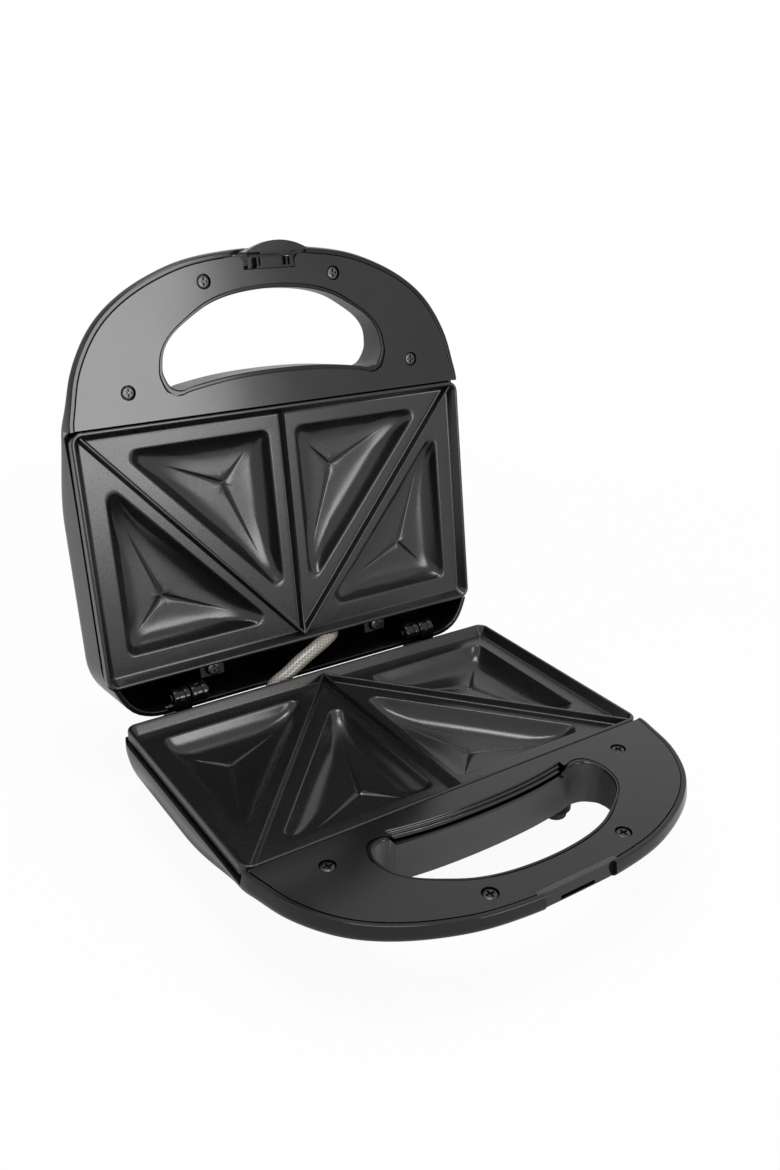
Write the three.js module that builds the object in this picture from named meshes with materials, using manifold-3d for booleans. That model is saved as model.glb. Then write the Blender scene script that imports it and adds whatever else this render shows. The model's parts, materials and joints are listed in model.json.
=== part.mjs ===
// Two-slice sandwich maker, open, as separate solids. Millimetres, +Z up, handle towards -Y.
import * as THREE from 'three';
import { mergeVertices } from 'three/addons/utils/BufferGeometryUtils.js';
import Module from 'manifold-3d';

const wasm = await Module();
wasm.setup();

// Driving dimensions of the whole part
const plateWidth = 230;
const plateDepth = 131.5;
const openingAngle = THREE.MathUtils.degToRad(100.2);
const hingeSetback = 14;
const closedGap = 0.6;
const controlsHeight = 12;
const handleReach = 81.5;
const footHeight = 5;

// Clearances and overruns
const clearance = 0.3;
const overrun = 2;
const longOverrun = 6;

// Housing shell
const plateSideGap = 0.9;
const shellWall = 2.5;
const shellRear = 19.2;
const rearCornerRadius = 26;
const seamGap = 0.6;
const lipInset = 1.2;
const sideWallHeight = 17;
const frontWallHeight = 9;
const crownSideInset = 23;
const crownRearInset = 17;
const crownFrontInset = 32.1;
const crownShoulderInset = 62.1;
const plateLipHeight = 9;
const lowerRearLipHeight = 14;
const rearLipStart = 2;
const partitionThickness = 2.2;
const frontShares = [
  [1, 0], [0.98, 0.15], [0.945, 0.335], [0.88, 0.515], [0.8, 0.655],
  [0.69, 0.775], [0.555, 0.873], [0.4, 0.947], [0.21, 0.987], [0, 1],
];
const frontFallShare = 1.12;
const blendShares = [-0.55, 0.6];

// Hand opening of the handle
const openingSideInset = 51.9;
const openingSeamInset = 17.9;
const handleBarWidth = 20.1;
const openingWall = 2.5;
const openingShares = [
  [0, 0], [0.41, -0.023], [0.75, -0.092], [0.86, -0.131], [0.95, -0.08], [0.995, 0.06],
  [1, 0.17], [0.97, 0.363], [0.887, 0.536], [0.74, 0.703], [0.546, 0.867], [0.305, 0.965], [0, 1],
];
const ribEndInset = 15;
const ribSetback = 5;
const ribReach = 10;

// Handle facing
const coverThickness = 2.5;
const outerScrewSideInset = 33.4;
const outerScrewSeamInset = 15.4;
const innerScrewShare = 0.3403;
const innerScrewFrontInset = 15.9;
const wellRadius = 6.2;
const wellDepth = 6.4;
const counterboreRadius = 4.75;
const counterboreDepth = 4.2;
const screwHoleRadius = 1.8;

// Screws
const screwHeadRadius = 3.5;
const screwHeadHeight = 2;
const screwShankRadius = 1.3;
const screwLength = 7;
const crossWidth = 1;
const crossLength = 4.2;
const crossDepth = 1.2;
const postRadius = 4;

// Plate casting
const plateCornerRadius = 6;
const plateSkirt = 13;
const rimWidth = 3;
const rimSlope = 1.6;
const landDepth = 5;
const castingWall = 2.6;
const ridgeTopWidth = 2.6;
const ridgeBaseWidth = 6;
const ridgeDrop = 1;
const landWidth = 8;
const pocketCornerRadius = 6;
const pocketDepth = 10;
const pocketRingShares = [[0, 0], [0.07, 0.35], [0.2, 0.68], [0.42, 0.84]];
const pocketMiddleShare = 0.06;

// Heating element
const elementRadius = 3.25;
const elementEndInset = 32;
const elementLeadInset = 8;
const elementPinRadius = 1.5;
const elementPinLength = 6;

// Heat reflector tray
const trayThickness = 0.8;
const trayEdgeGap = 3.5;
const traySlope = 17;
const tabRootOverlap = 0.5;
const tabHalfWidth = 7;
const tabKnuckleGap = 10;
const tabScrewSetback = 8;
const tabEndMargin = 4.5;
const seatPostSideInset = 45;
const seatPostInset = 34;

// Hinge
const knuckleRadius = 5;
const knuckleSideInset = 31.6;
const knuckleLength = 11;
const knuckleGap = 0.8;
const armHeight = 17;
const hingePinRadius = 2;
const pinOverhang = 1.4;
const pinHeadRadius = 3.2;
const pinHeadLength = 1.2;
const lidNotchHeight = 9;
const lidNotchMargin = 1.6;
const stopReach = 8;
const stopHeight = 7.9;

// Latch
const notchHalfWidth = 23.5;
const notchHeight = 14;
const notchDepth = 5.6;
const noseHalfWidth = 30;
const recessDepth = 3;
const recessHeight = 12.5;
const windowHalfWidth = 15;
const windowFrontInset = 5.4;
const windowDepth = 6.2;
const tabMoonHalfWidth = 19.5;
const tabMoonInset = 2.4;
const tabMoonProud = 2;
const tabMoonDrop = 10;
const tabMoonRise = 9;
const hookBarWidth = 21.4;
const hookBarShift = 3.5;
const hookBarDepth = 5.2;
const hookBarRecess = 0.2;
const latchAxisInset = 11;
const latchAxisHeight = 5.5;
const latchBarrelRadius = 2.6;
const latchPinRadius = 1.2;
const latchBoreClearance = 0.3;
const latchBarrelLeft = 13;
const latchBarrelRight = 20;
const latchLugWidth = 3;
const latchLugDepth = 5;
const latchLugRise = 1.8;
const latchWebHalfWidth = 11;
const latchWebBottom = 1;
const latchWebTop = 5.6;
const springRadius = 2.4;
const springLength = 6;
const toeHalfWidth = 9;
const toeReach = 2.1;
const toeTop = 5.9;
const toeBottom = 8.4;
const keeperClearance = 0.8;

// Feet
const footRadius = 6.15;
const footSideInset = 52.4;
const frontFootInset = 5.1;
const rearFootBack = 5;
const footBossRadius = 8;
const footBossStart = 18.75;
const footStemRadius = 3;
const footStemHeight = 4;
const footRound = 1;

// Cord bush and terminal block
const bushKnuckleGap = 12;
const bushHeight = 26;
const bushRadius = 5;
const bushFlangeRadius = 7;
const bushFlange = 2;
const bushCollar = 3.2;
const bushBore = 3.3;
const terminalBlock = [30, 14, 9];
const terminalBlockBack = 32;

// Controls in the lid
const thermostatRadius = 8;
const thermostatHeight = 6;
const thermostatX = 32;
const fuseRadius = 2.2;
const fuseLength = 16;
const boardSize = [44, 16, 1.6];
const boardSeamInset = 15.1;
const boardRise = 1.2;
const lensRadius = 3.5;
const lensSpacing = 22;
const lensProud = 0.6;
const lensRound = 1;
const lensLift = 0.6;
const boardPostRadius = 2;

// Wiring sleeve
const sleeveRadius = 3.3;
const sleeveSides = 10;
const sleeveSteps = 26;
const sleevePoints = [
  [24, 30, 6], [17.5, 20.5, 8.2], [6, 14, 7.4], [-7, 11.4, 2.6], [-17, 9.7, -2.2],
  [-25, 9, -6.4], [-31, 7.4, -13], [-34, 5.8, -22],
];

// Facets of the round forms
const cornerSteps = 4;
const roundSides = 16;
const smallSides = 8;
const headSides = 14;
const shankSides = 6;
const domeSteps = 5;
const frontSteps = 12;
const sideSteps = 4;
const openingSteps = 16;
const bendSteps = 8;

// Colours of the real materials
const finish = {
  shell: { color: 0x0b0c0e, roughness: 0.12, metalness: 0 },
  facing: { color: 0x141516, roughness: 0.28, metalness: 0 },
  plate: { color: 0x262422, roughness: 0.42, metalness: 0.2 },
  steel: { color: 0xb4b6b8, roughness: 0.35, metalness: 1 },
  screw: { color: 0x1c1c1e, roughness: 0.4, metalness: 0.9 },
  rubber: { color: 0x161616, roughness: 0.85, metalness: 0 },
  element: { color: 0x6c665e, roughness: 0.6, metalness: 0.8 },
  tray: { color: 0xc2c4c6, roughness: 0.45, metalness: 0.9 },
  sleeve: { color: 0xa39c90, roughness: 0.95, metalness: 0 },
  ceramic: { color: 0xe6e0d2, roughness: 0.7, metalness: 0 },
  board: { color: 0x2d5a34, roughness: 0.6, metalness: 0 },
  red: { color: 0xb01818, roughness: 0.2, metalness: 0 },
  green: { color: 0x1c9a3a, roughness: 0.2, metalness: 0 },
};

// Worked-out sizes
const seamBack = plateDepth + seamGap;
const seamY = -seamBack;
const plateHalf = plateWidth / 2;
const frontBack = seamBack + handleReach;
const frontY = -frontBack;
const shellHalfWidth = plateHalf + plateSideGap + shellWall;
const crownFrontBack = seamBack - crownFrontInset;
const crownShoulderBack = seamBack - crownShoulderInset;
const openingHalfWidth = shellHalfWidth - openingSideInset;
const openingBack = seamBack + openingSeamInset;
const openingDepth = handleReach - openingSeamInset - handleBarWidth;
const ribHalfWidth = openingHalfWidth - ribEndInset;
const knuckleInner = shellHalfWidth - knuckleSideInset - 2 * knuckleLength - knuckleGap;
const tabOffset = knuckleInner - tabKnuckleGap;
const seatPostX = plateHalf - seatPostSideInset;
const notchBack = frontBack - notchDepth;
const recessBack = frontBack - recessDepth;
const windowFront = frontBack - windowFrontInset;
const windowBack = windowFront - windowDepth;
const tabMoonBack = frontBack - tabMoonInset;
const tabMoonFront = frontBack + tabMoonProud;
const latchAxisBack = frontBack - latchAxisInset;
const footX = shellHalfWidth - footSideInset;
const frontFootBack = seamBack - frontFootInset;
const bushX = knuckleInner - bushKnuckleGap;
const thermostatBack = seamBack / 2;
const boardBack = seamBack - boardSeamInset;
const latchLugEnd = latchBarrelRight + clearance + latchLugWidth;
const screwCircle = [
  [shellHalfWidth - outerScrewSideInset, seamBack + outerScrewSeamInset],
  [THREE.MathUtils.lerp(latchLugEnd, openingHalfWidth, innerScrewShare), frontBack - innerScrewFrontInset],
];
const landBack = landDepth + castingWall;
const pocketBack = landDepth + pocketDepth + castingWall;
const elementHeight = pocketBack + clearance + elementRadius;
const trayFront = elementHeight + elementRadius + clearance;
const trayBack = trayFront + trayThickness;
const tabFront = plateSkirt + clearance;
const trayRise = trayBack - landBack - clearance;
const tabRoot = traySlope * (tabFront + trayThickness - landBack - clearance) / trayRise + tabRootOverlap;
const innerHeight = trayBack + controlsHeight;
const halfHeight = innerHeight + shellWall;

// A closed geometry as a solid
function solid(geometry) {
  const bare = geometry.clone();
  bare.deleteAttribute('normal');
  bare.deleteAttribute('uv');
  const welded = mergeVertices(bare);
  return new wasm.Manifold(new wasm.Mesh({
    numProp: 3,
    vertProperties: new Float32Array(welded.attributes.position.array),
    triVerts: new Uint32Array(welded.index.array),
  }));
}

// A solid as a named mesh with its finish
function piece(name, body, look) {
  const mesh = body.getMesh();
  const geometry = new THREE.BufferGeometry();
  geometry.setAttribute('position', new THREE.BufferAttribute(new Float32Array(mesh.vertProperties), 3));
  geometry.setIndex(new THREE.BufferAttribute(new Uint32Array(mesh.triVerts), 1));
  geometry.computeVertexNormals();
  const result = new THREE.Mesh(geometry, new THREE.MeshStandardMaterial(finish[look]));
  result.name = name;
  return result;
}

// A box between two corners
function box(x0, y0, z0, x1, y1, z1) {
  const geometry = new THREE.BoxGeometry(x1 - x0, y1 - y0, z1 - z0);
  geometry.translate((x0 + x1) / 2, (y0 + y1) / 2, (z0 + z1) / 2);
  return solid(geometry);
}

// A round bar along Z from one height to another
function post(x, y, z0, z1, radius, sides = roundSides, topRadius = radius) {
  const geometry = new THREE.CylinderGeometry(topRadius, radius, z1 - z0, sides);
  geometry.rotateX(Math.PI / 2);
  geometry.translate(x, y, (z0 + z1) / 2);
  return solid(geometry);
}

// A round bar along X
function rod(x0, x1, y, z, radius, sides = roundSides) {
  const geometry = new THREE.CylinderGeometry(radius, radius, x1 - x0, sides);
  geometry.rotateZ(Math.PI / 2);
  geometry.translate((x0 + x1) / 2, y, z);
  return solid(geometry);
}

// A flat outline pushed from one height to another
function slab(points, z0, z1) {
  const geometry = new THREE.ExtrudeGeometry(new THREE.Shape(points), { depth: z1 - z0, bevelEnabled: false });
  geometry.translate(0, 0, z0);
  return solid(geometry);
}

// A closed skin through rings of equal count, with flat ends
function loft(rings) {
  const count = rings[0].length;
  const positions = [];
  const triangles = [];
  rings.forEach((ring) => ring.forEach((p) => positions.push(p.x, p.y, p.z)));
  for (let r = 0; r < rings.length - 1; r++) {
    for (let i = 0; i < count; i++) {
      const a = r * count + i;
      const b = r * count + (i + 1) % count;
      triangles.push(a, b, b + count, a, b + count, a + count);
    }
  }
  const flat = (ring) => ring.map((p) => new THREE.Vector2(p.x, p.y));
  const last = (rings.length - 1) * count;
  THREE.ShapeUtils.triangulateShape(flat(rings[0]), []).forEach(([a, b, c]) => triangles.push(a, c, b));
  THREE.ShapeUtils.triangulateShape(flat(rings[rings.length - 1]), []).forEach(([a, b, c]) => {
    triangles.push(last + a, last + b, last + c);
  });
  const geometry = new THREE.BufferGeometry();
  geometry.setAttribute('position', new THREE.Float32BufferAttribute(positions, 3));
  geometry.setIndex(triangles);
  return solid(geometry);
}

// The right half of an outline and its mirror image, counter-clockwise
function mirrored(rightHalf) {
  const left = rightHalf.slice(1, -1).reverse().map((p) => new THREE.Vector2(-p.x, p.y));
  return rightHalf.concat(left);
}

// A smooth half outline through shares of a half width and a depth
function splineHalf(shares, halfWidth, start, depth, steps) {
  const points = shares.map(([sx, sy]) => new THREE.Vector2(halfWidth * sx, start - depth * sy));
  return new THREE.SplineCurve(points).getPoints(steps);
}

// The right half of a plan outline: front sweep, straight side, rear corner
function planHalf(halfWidth, back, corner, shoulderY, frontEnd) {
  const points = splineHalf(frontShares, halfWidth, shoulderY, shoulderY - frontEnd, frontSteps).reverse();
  for (let i = 1; i < sideSteps; i++) {
    points.push(new THREE.Vector2(halfWidth, THREE.MathUtils.lerp(shoulderY, back - corner, i / sideSteps)));
  }
  for (let i = 0; i <= cornerSteps; i++) {
    const turn = (i / cornerSteps) * Math.PI / 2;
    const x = halfWidth - corner + corner * Math.cos(turn);
    points.push(new THREE.Vector2(x, back - corner + corner * Math.sin(turn)));
  }
  points.push(new THREE.Vector2(0, back));
  return points;
}

// The housing's plan outline at the seam, drawn in by an even amount
function shellHalf(inset) {
  const corner = Math.max(rearCornerRadius - inset, shellWall);
  return planHalf(shellHalfWidth - inset, shellRear - inset, corner, seamY, frontY + inset);
}

// The domed body of a housing, or its hollow when drawn in by the wall
function dome(inset, lowest) {
  const foot = shellHalf(lipInset + inset);
  const wall = shellHalf(inset);
  const crown = planHalf(shellHalfWidth - crownSideInset, shellRear - crownRearInset,
    rearCornerRadius - crownRearInset, -crownShoulderBack, -crownFrontBack);
  const high = halfHeight - inset;
  const [start, end] = blendShares;
  const forward = wall.map((p) => THREE.MathUtils.smoothstep((seamY - p.y) / handleReach, start, end));
  const ringAt = (half, height) => {
    const heights = half.map(height);
    const ring = mirrored(half);
    const all = heights.concat(heights.slice(1, -1).reverse());
    return ring.map((p, i) => new THREE.Vector3(p.x, p.y, all[i]));
  };
  const rings = [ringAt(foot, () => lowest), ringAt(foot, () => 0)];
  const wallTop = (k) => THREE.MathUtils.lerp(sideWallHeight, frontWallHeight - inset, k);
  for (let s = 0; s <= domeSteps; s++) {
    const t = s / domeSteps;
    const half = wall.map((p, i) => {
      const k = forward[i];
      const share = THREE.MathUtils.lerp(1 - Math.cos(t * Math.PI / 2), t, k);
      return p.clone().lerp(crown[i], share);
    });
    const height = (p, i) => {
      const k = forward[i];
      const share = THREE.MathUtils.lerp(Math.sin(t * Math.PI / 2), t ** frontFallShare, k);
      return THREE.MathUtils.lerp(wallTop(k), high, share);
    };
    rings.push(ringAt(half, height));
  }
  return loft(rings);
}

// The hand opening's outline, widened by a margin
function openingOutline(margin) {
  const half = splineHalf(openingShares, openingHalfWidth + margin, -openingBack + margin,
    openingDepth + 2 * margin, openingSteps);
  return mirrored(half).reverse();
}

function openingBar(margin, z0, z1) {
  return slab(openingOutline(margin), z0, z1);
}

// The four places of the facing's screws
const coverScrewPlaces = screwCircle.flatMap(([x, back]) => [[-x, -back], [x, -back]]);

// The outline inside the shell's wall, forward of the seam, as a solid
function facingBlank(z0, z1) {
  const inset = shellWall + lipInset + clearance;
  const outline = mirrored(shellHalf(inset));
  const plan = slab(outline, z0, z1);
  const side = shellHalfWidth + overrun;
  return plan.intersect(box(-side, frontY - overrun, z0 - overrun, side, seamY - clearance, z1 + overrun));
}

// A housing half: dome, hollow, hand opening and the supports inside
function housing(upper) {
  const outer = dome(0, 0);
  const hollow = dome(shellWall, -overrun);
  const wide = shellHalfWidth + overrun;
  const tall = halfHeight + overrun;
  let inside = openingBar(openingWall, coverThickness + clearance, tall);
  if (!upper) {
    const ribFront = -openingBack - ribSetback;
    const rib = openingBar(openingWall - clearance, 0, tall)
      .intersect(box(-ribHalfWidth, ribFront, 0, ribHalfWidth, -openingBack + ribReach, tall));
    inside = inside.add(rib);
  }
  const partition = box(-wide, seamY - partitionThickness, coverThickness + clearance, wide, seamY, tall);
  inside = inside.add(partition);
  for (const [x, y] of coverScrewPlaces) {
    inside = inside.add(post(x, y, wellDepth + clearance, tall, postRadius, smallSides));
  }
  for (const x of [-seatPostX, seatPostX]) {
    for (const y of [-seatPostInset, -(plateDepth - seatPostInset)]) {
      inside = inside.add(post(x, y, trayBack + clearance, tall, postRadius, smallSides));
    }
  }
  for (const x of [-tabOffset, tabOffset]) {
    const seat = tabFront + trayThickness + clearance;
    inside = inside.add(post(x, tabScrewSetback, seat, tall, postRadius, smallSides));
  }
  const recessBlock = box(-notchHalfWidth - shellWall, -recessBack, 0, notchHalfWidth + shellWall,
    -recessBack + shellWall, recessHeight + shellWall);
  const noseWall = box(-noseHalfWidth, frontY, recessHeight, noseHalfWidth, -recessBack + shellWall,
    recessHeight + shellWall);
  if (!upper) inside = inside.add(recessBlock).add(noseWall);
  inside = inside.add(hingeArms(upper));
  let body = outer.subtract(hollow).add(inside.intersect(outer.add(hingeArms(upper))));
  if (!upper) body = withLegs(body, hollow);
  body = body.subtract(openingBar(0, -overrun, tall));
  // the lip beside the plate is low, so that the pan's own wall shows
  const lipEnd = upper ? rearLipStart : rearLipStart + overrun;
  body = body.subtract(box(-wide, seamY, -overrun, wide, lipEnd, plateLipHeight));
  if (!upper) {
    const rearCut = box(-wide, rearLipStart, -overrun, wide, shellRear + overrun, lowerRearLipHeight);
    body = body.subtract(rearCut.subtract(armSpace()));
    body = body.subtract(box(-notchHalfWidth, frontY - longOverrun, -overrun,
      notchHalfWidth, -recessBack, recessHeight));
    body = body.subtract(box(-toeHalfWidth - keeperClearance, -recessBack - overrun,
      toeTop - closedGap - keeperClearance, toeHalfWidth + keeperClearance, -recessBack + shellWall + overrun,
      toeBottom - closedGap + keeperClearance));
    body = body.subtract(bushHole()).add(stopLugs());
  } else {
    body = body.subtract(box(-notchHalfWidth, frontY - longOverrun, -overrun,
      notchHalfWidth, -notchBack, notchHeight));
    body = body.subtract(lidNotches()).subtract(barrelRelief());
    for (const side of [-1, 1]) {
      const bore = post(side * lensSpacing / 2, -boardBack, trayBack, tall, lensRadius + clearance, smallSides);
      body = body.subtract(bore);
    }
    body = body.add(boardPosts().intersect(outer));
  }
  for (const [x, y] of coverScrewPlaces) {
    body = body.subtract(screwBore(x, y, counterboreDepth));
  }
  for (const x of [-tabOffset, tabOffset]) {
    body = body.subtract(screwBore(x, tabScrewSetback, tabFront));
  }
  return body.subtract(hingeBores());
}

// The bore that a screw's shank goes down into
function screwBore(x, y, seat) {
  return post(x, y, seat, seat + screwLength + clearance, screwShankRadius + clearance, smallSides);
}

// The knuckle of one half and the arm that carries it
function knuckleSpan(upper) {
  const start = upper ? knuckleInner : knuckleInner + knuckleLength + knuckleGap;
  return [start, start + knuckleLength];
}

function hingeArms(upper) {
  const [near, far] = knuckleSpan(upper);
  const axisHeight = -closedGap / 2;
  const arm = box(near, hingeSetback - knuckleRadius, axisHeight, far, shellRear, armHeight)
    .add(rod(near, far, hingeSetback, axisHeight, knuckleRadius));
  const mirror = box(-far, hingeSetback - knuckleRadius, axisHeight, -near, shellRear, armHeight)
    .add(rod(-far, -near, hingeSetback, axisHeight, knuckleRadius));
  return arm.add(mirror);
}

// The space of the lower arms, kept where the lower rear lip is cut
function armSpace() {
  const [near, far] = knuckleSpan(false);
  const low = -longOverrun;
  const right = box(near, hingeSetback - knuckleRadius, low, far, shellRear, armHeight);
  return right.add(box(-far, hingeSetback - knuckleRadius, low, -near, shellRear, armHeight));
}

// Shoulders behind the lower arms on which the open lid rests
function stopLugs() {
  const [near, far] = knuckleSpan(false);
  const front = shellRear - shellWall;
  const right = box(near, front, stopHeight, far, shellRear + stopReach, armHeight);
  return right.add(box(-far, front, stopHeight, -near, shellRear + stopReach, armHeight));
}

// Slots in the lid's rear wall that let it pass the lower arms
function lidNotches() {
  const [near, far] = knuckleSpan(false);
  const low = -longOverrun;
  const front = hingeSetback - knuckleRadius - knuckleGap;
  const back = shellRear + overrun;
  const end = far + pinHeadLength + lidNotchMargin;
  const right = box(near - knuckleGap, front, low, end, back, lidNotchHeight);
  return right.add(box(-end, front, low, -near + knuckleGap, back, lidNotchHeight));
}

function hingeBores() {
  const far = knuckleInner + 2 * knuckleLength + knuckleGap + overrun;
  const near = knuckleInner - overrun;
  const radius = hingePinRadius + clearance;
  const height = -closedGap / 2;
  return rod(near, far, hingeSetback, height, radius).add(rod(-far, -near, hingeSetback, height, radius));
}

// The lower body with the legs under its dome and the stem holes of the feet
function withLegs(body, hollow) {
  for (const [x, y] of footPlaces) {
    body = body.add(post(x, y, footBossStart, halfHeight, footBossRadius).subtract(hollow));
    const low = halfHeight - footStemHeight - clearance;
    body = body.subtract(post(x, y, low, halfHeight + overrun, footStemRadius + clearance));
  }
  return body;
}

const footPlaces = [
  [footX, -frontFootBack], [-footX, -frontFootBack], [footX, -rearFootBack], [-footX, -rearFootBack],
];

// The hole in the rear wall for the cord bush
function bushHole() {
  const radius = bushRadius + clearance;
  const geometry = new THREE.CylinderGeometry(radius, radius, shellRear, roundSides);
  geometry.translate(bushX, shellRear, bushHeight);
  return solid(geometry);
}

function boardPosts() {
  const top = trayBack + boardRise + boardSize[2] + clearance;
  const x = boardSize[0] / 2 - boardPostRadius;
  const tall = halfHeight + overrun;
  const right = post(x, -boardBack, top, tall, boardPostRadius, smallSides);
  return right.add(post(-x, -boardBack, top, tall, boardPostRadius, smallSides));
}

// The flat facing of the handle with its wells
function handleCover(upper) {
  let cover = facingBlank(0, coverThickness);
  for (const [x, y] of coverScrewPlaces) {
    cover = cover.add(post(x, y, 0, wellDepth, wellRadius));
  }
  cover = cover.subtract(openingBar(0, -overrun, halfHeight));
  for (const [x, y] of coverScrewPlaces) {
    cover = cover.subtract(post(x, y, -overrun, counterboreDepth, counterboreRadius));
    cover = cover.subtract(post(x, y, 0, wellDepth + overrun, screwHoleRadius, smallSides));
  }
  if (upper) {
    cover = cover.subtract(box(-windowHalfWidth, -windowFront, -overrun,
      windowHalfWidth, -windowBack, wellDepth));
    cover = cover.subtract(box(-notchHalfWidth, frontY, -overrun, notchHalfWidth, -notchBack, wellDepth));
    cover = cover.add(latchLugs());
  } else {
    const halfWidth = notchHalfWidth + shellWall + clearance;
    cover = cover.subtract(box(-halfWidth, frontY, -overrun,
      halfWidth, -recessBack + shellWall + clearance, wellDepth));
    const ribFront = -openingBack - openingDepth / 2;
    const slot = box(-ribHalfWidth - clearance, ribFront, -overrun, ribHalfWidth + clearance,
      -openingBack + ribReach, coverThickness + overrun);
    cover = cover.subtract(openingBar(ribSetback, -overrun, coverThickness + overrun).intersect(slot));
  }
  return cover;
}

// The groove inside the lid's nose in which the latch's barrel turns
function barrelRelief() {
  const end = latchBarrelRight + clearance;
  return rod(-end, end, -latchAxisBack, latchAxisHeight, latchBarrelRadius + clearance);
}

// Lugs under the upper facing that hold the latch's pin
function latchLugs() {
  const start = latchLugEnd - latchLugWidth;
  const y0 = -latchAxisBack - latchLugDepth / 2;
  const y1 = -latchAxisBack + latchLugDepth / 2;
  const top = latchAxisHeight + latchLugRise;
  const lugs = box(start, y0, coverThickness / 2, start + latchLugWidth, y1, top)
    .add(box(-start - latchLugWidth, y0, coverThickness / 2, -start, y1, top));
  const reach = start + latchLugWidth + overrun;
  return lugs.subtract(rod(-reach, reach, -latchAxisBack, latchAxisHeight, latchPinRadius + clearance / 2));
}

// A triangle with round corners, drawn in by a share of its inner radius
function roundTriangle(corners, inset, radius, height) {
  const [a, b, c] = corners;
  const lengths = [b.distanceTo(c), c.distanceTo(a), a.distanceTo(b)];
  const around = lengths[0] + lengths[1] + lengths[2];
  const centre = new THREE.Vector2()
    .addScaledVector(a, lengths[0] / around)
    .addScaledVector(b, lengths[1] / around)
    .addScaledVector(c, lengths[2] / around);
  const area = Math.abs(b.clone().sub(a).cross(c.clone().sub(a))) / 2;
  const innerRadius = 2 * area / around;
  const scale = (innerRadius - inset) / innerRadius;
  const ring = [];
  corners.forEach((corner, i) => {
    const before = corners[(i + 2) % 3].clone().sub(corner).normalize();
    const after = corners[(i + 1) % 3].clone().sub(corner).normalize();
    const half = before.angleTo(after) / 2;
    const bisector = before.clone().add(after).normalize();
    const heart = corner.clone().addScaledVector(bisector, radius / Math.sin(half));
    const from = Math.atan2(-bisector.y, -bisector.x) - (Math.PI / 2 - half);
    for (let s = 0; s <= cornerSteps; s++) {
      const turn = from + (s / cornerSteps) * (Math.PI - 2 * half);
      const p = new THREE.Vector2(heart.x + radius * Math.cos(turn), heart.y + radius * Math.sin(turn));
      p.sub(centre).multiplyScalar(scale).add(centre);
      ring.push(new THREE.Vector3(p.x, p.y, height));
    }
  });
  return { ring, centre, innerRadius };
}

// The four cells between the ridges, corners counter-clockwise, drawn in by the land
function pocketCorners() {
  const side = plateHalf - rimWidth - rimSlope;
  const rear = -(rimWidth + rimSlope);
  const front = -(plateDepth - rimWidth - rimSlope);
  const right = [
    [[0, rear], [side, front], [side, rear]],
    [[0, rear], [0, front], [side, front]],
  ];
  const left = right.map((cell) => cell.map(([x, y]) => [-x, y]).reverse());
  return [...right, ...left].map((cell) => cell.map(([x, y]) => new THREE.Vector2(x, y)));
}

// A pocket's hollow, or the casting around it when a wall is given
function pocket(cell, wall) {
  const inset = landWidth - wall;
  const whole = roundTriangle(cell, inset, pocketCornerRadius, 0);
  const span = whole.innerRadius - inset;
  const floor = landDepth + pocketDepth + wall;
  const rings = [roundTriangle(cell, inset, pocketCornerRadius, landDepth - (wall > 0 ? 0 : overrun)).ring];
  for (const [inShare, downShare] of pocketRingShares) {
    const height = landDepth + (wall > 0 ? wall : 0) + pocketDepth * downShare;
    rings.push(roundTriangle(cell, inset + span * inShare, pocketCornerRadius, height).ring);
  }
  const centre = whole.centre;
  rings.push(rings[0].map((p) => new THREE.Vector3(
    centre.x + (p.x - centre.x) * pocketMiddleShare,
    centre.y + (p.y - centre.y) * pocketMiddleShare,
    floor,
  )));
  return loft(rings);
}

// A rectangle with round corners behind the plate's rear edge
function plateOutline(inset) {
  const half = plateHalf - inset;
  const front = -(plateDepth - inset);
  const radius = Math.max(plateCornerRadius - inset, castingWall / 2);
  const points = [];
  const corners = [[half, front, -1], [half, -inset, 0], [-half, -inset, 1], [-half, front, 2]];
  corners.forEach(([x, y, quarter]) => {
    const cx = x - Math.sign(x) * radius;
    const cy = y === front ? y + radius : y - radius;
    for (let s = 0; s <= cornerSteps; s++) {
      const turn = (quarter + s / cornerSteps) * Math.PI / 2;
      points.push(new THREE.Vector2(cx + radius * Math.cos(turn), cy + radius * Math.sin(turn)));
    }
  });
  return points;
}

function plateRing(inset, height) {
  return plateOutline(inset).map((p) => new THREE.Vector3(p.x, p.y, height));
}

// A raised ridge between two points of the pan
function ridge(from, to) {
  const along = to.clone().sub(from).normalize();
  const across = new THREE.Vector2(-along.y, along.x);
  const ring = (width, height) => [[from, -1], [to, -1], [to, 1], [from, 1]].map(([end, side]) => {
    const p = end.clone().addScaledVector(across, side * width / 2);
    return new THREE.Vector3(p.x, p.y, height);
  });
  return loft([ring(ridgeTopWidth, ridgeDrop), ring(ridgeBaseWidth, landDepth + castingWall / 2)]);
}

// The cast plate: pan, ridges and four pockets
function plate() {
  const skirt = loft([plateRing(0, 0), plateRing(0, plateSkirt)]);
  const behind = loft([plateRing(rimWidth, landBack), plateRing(rimWidth, plateSkirt + overrun)]);
  const pan = loft([
    plateRing(rimWidth - rimSlope, -overrun),
    plateRing(rimWidth - rimSlope, 0),
    plateRing(rimWidth + rimSlope, landDepth),
  ]);
  let body = skirt.subtract(behind).subtract(pan);
  const cells = pocketCorners();
  cells.forEach((cell) => { body = body.add(pocket(cell, castingWall)); });
  const inside = rimWidth / 2;
  const rear = new THREE.Vector2(0, -inside);
  const ends = [
    new THREE.Vector2(0, -(plateDepth - inside)),
    new THREE.Vector2(plateHalf - rimWidth, -(plateDepth - rimWidth)),
    new THREE.Vector2(-(plateHalf - rimWidth), -(plateDepth - rimWidth)),
  ];
  ends.forEach((end) => { body = body.add(ridge(rear, end).intersect(skirt)); });
  cells.forEach((cell) => { body = body.subtract(pocket(cell, 0)); });
  return body;
}

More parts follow.
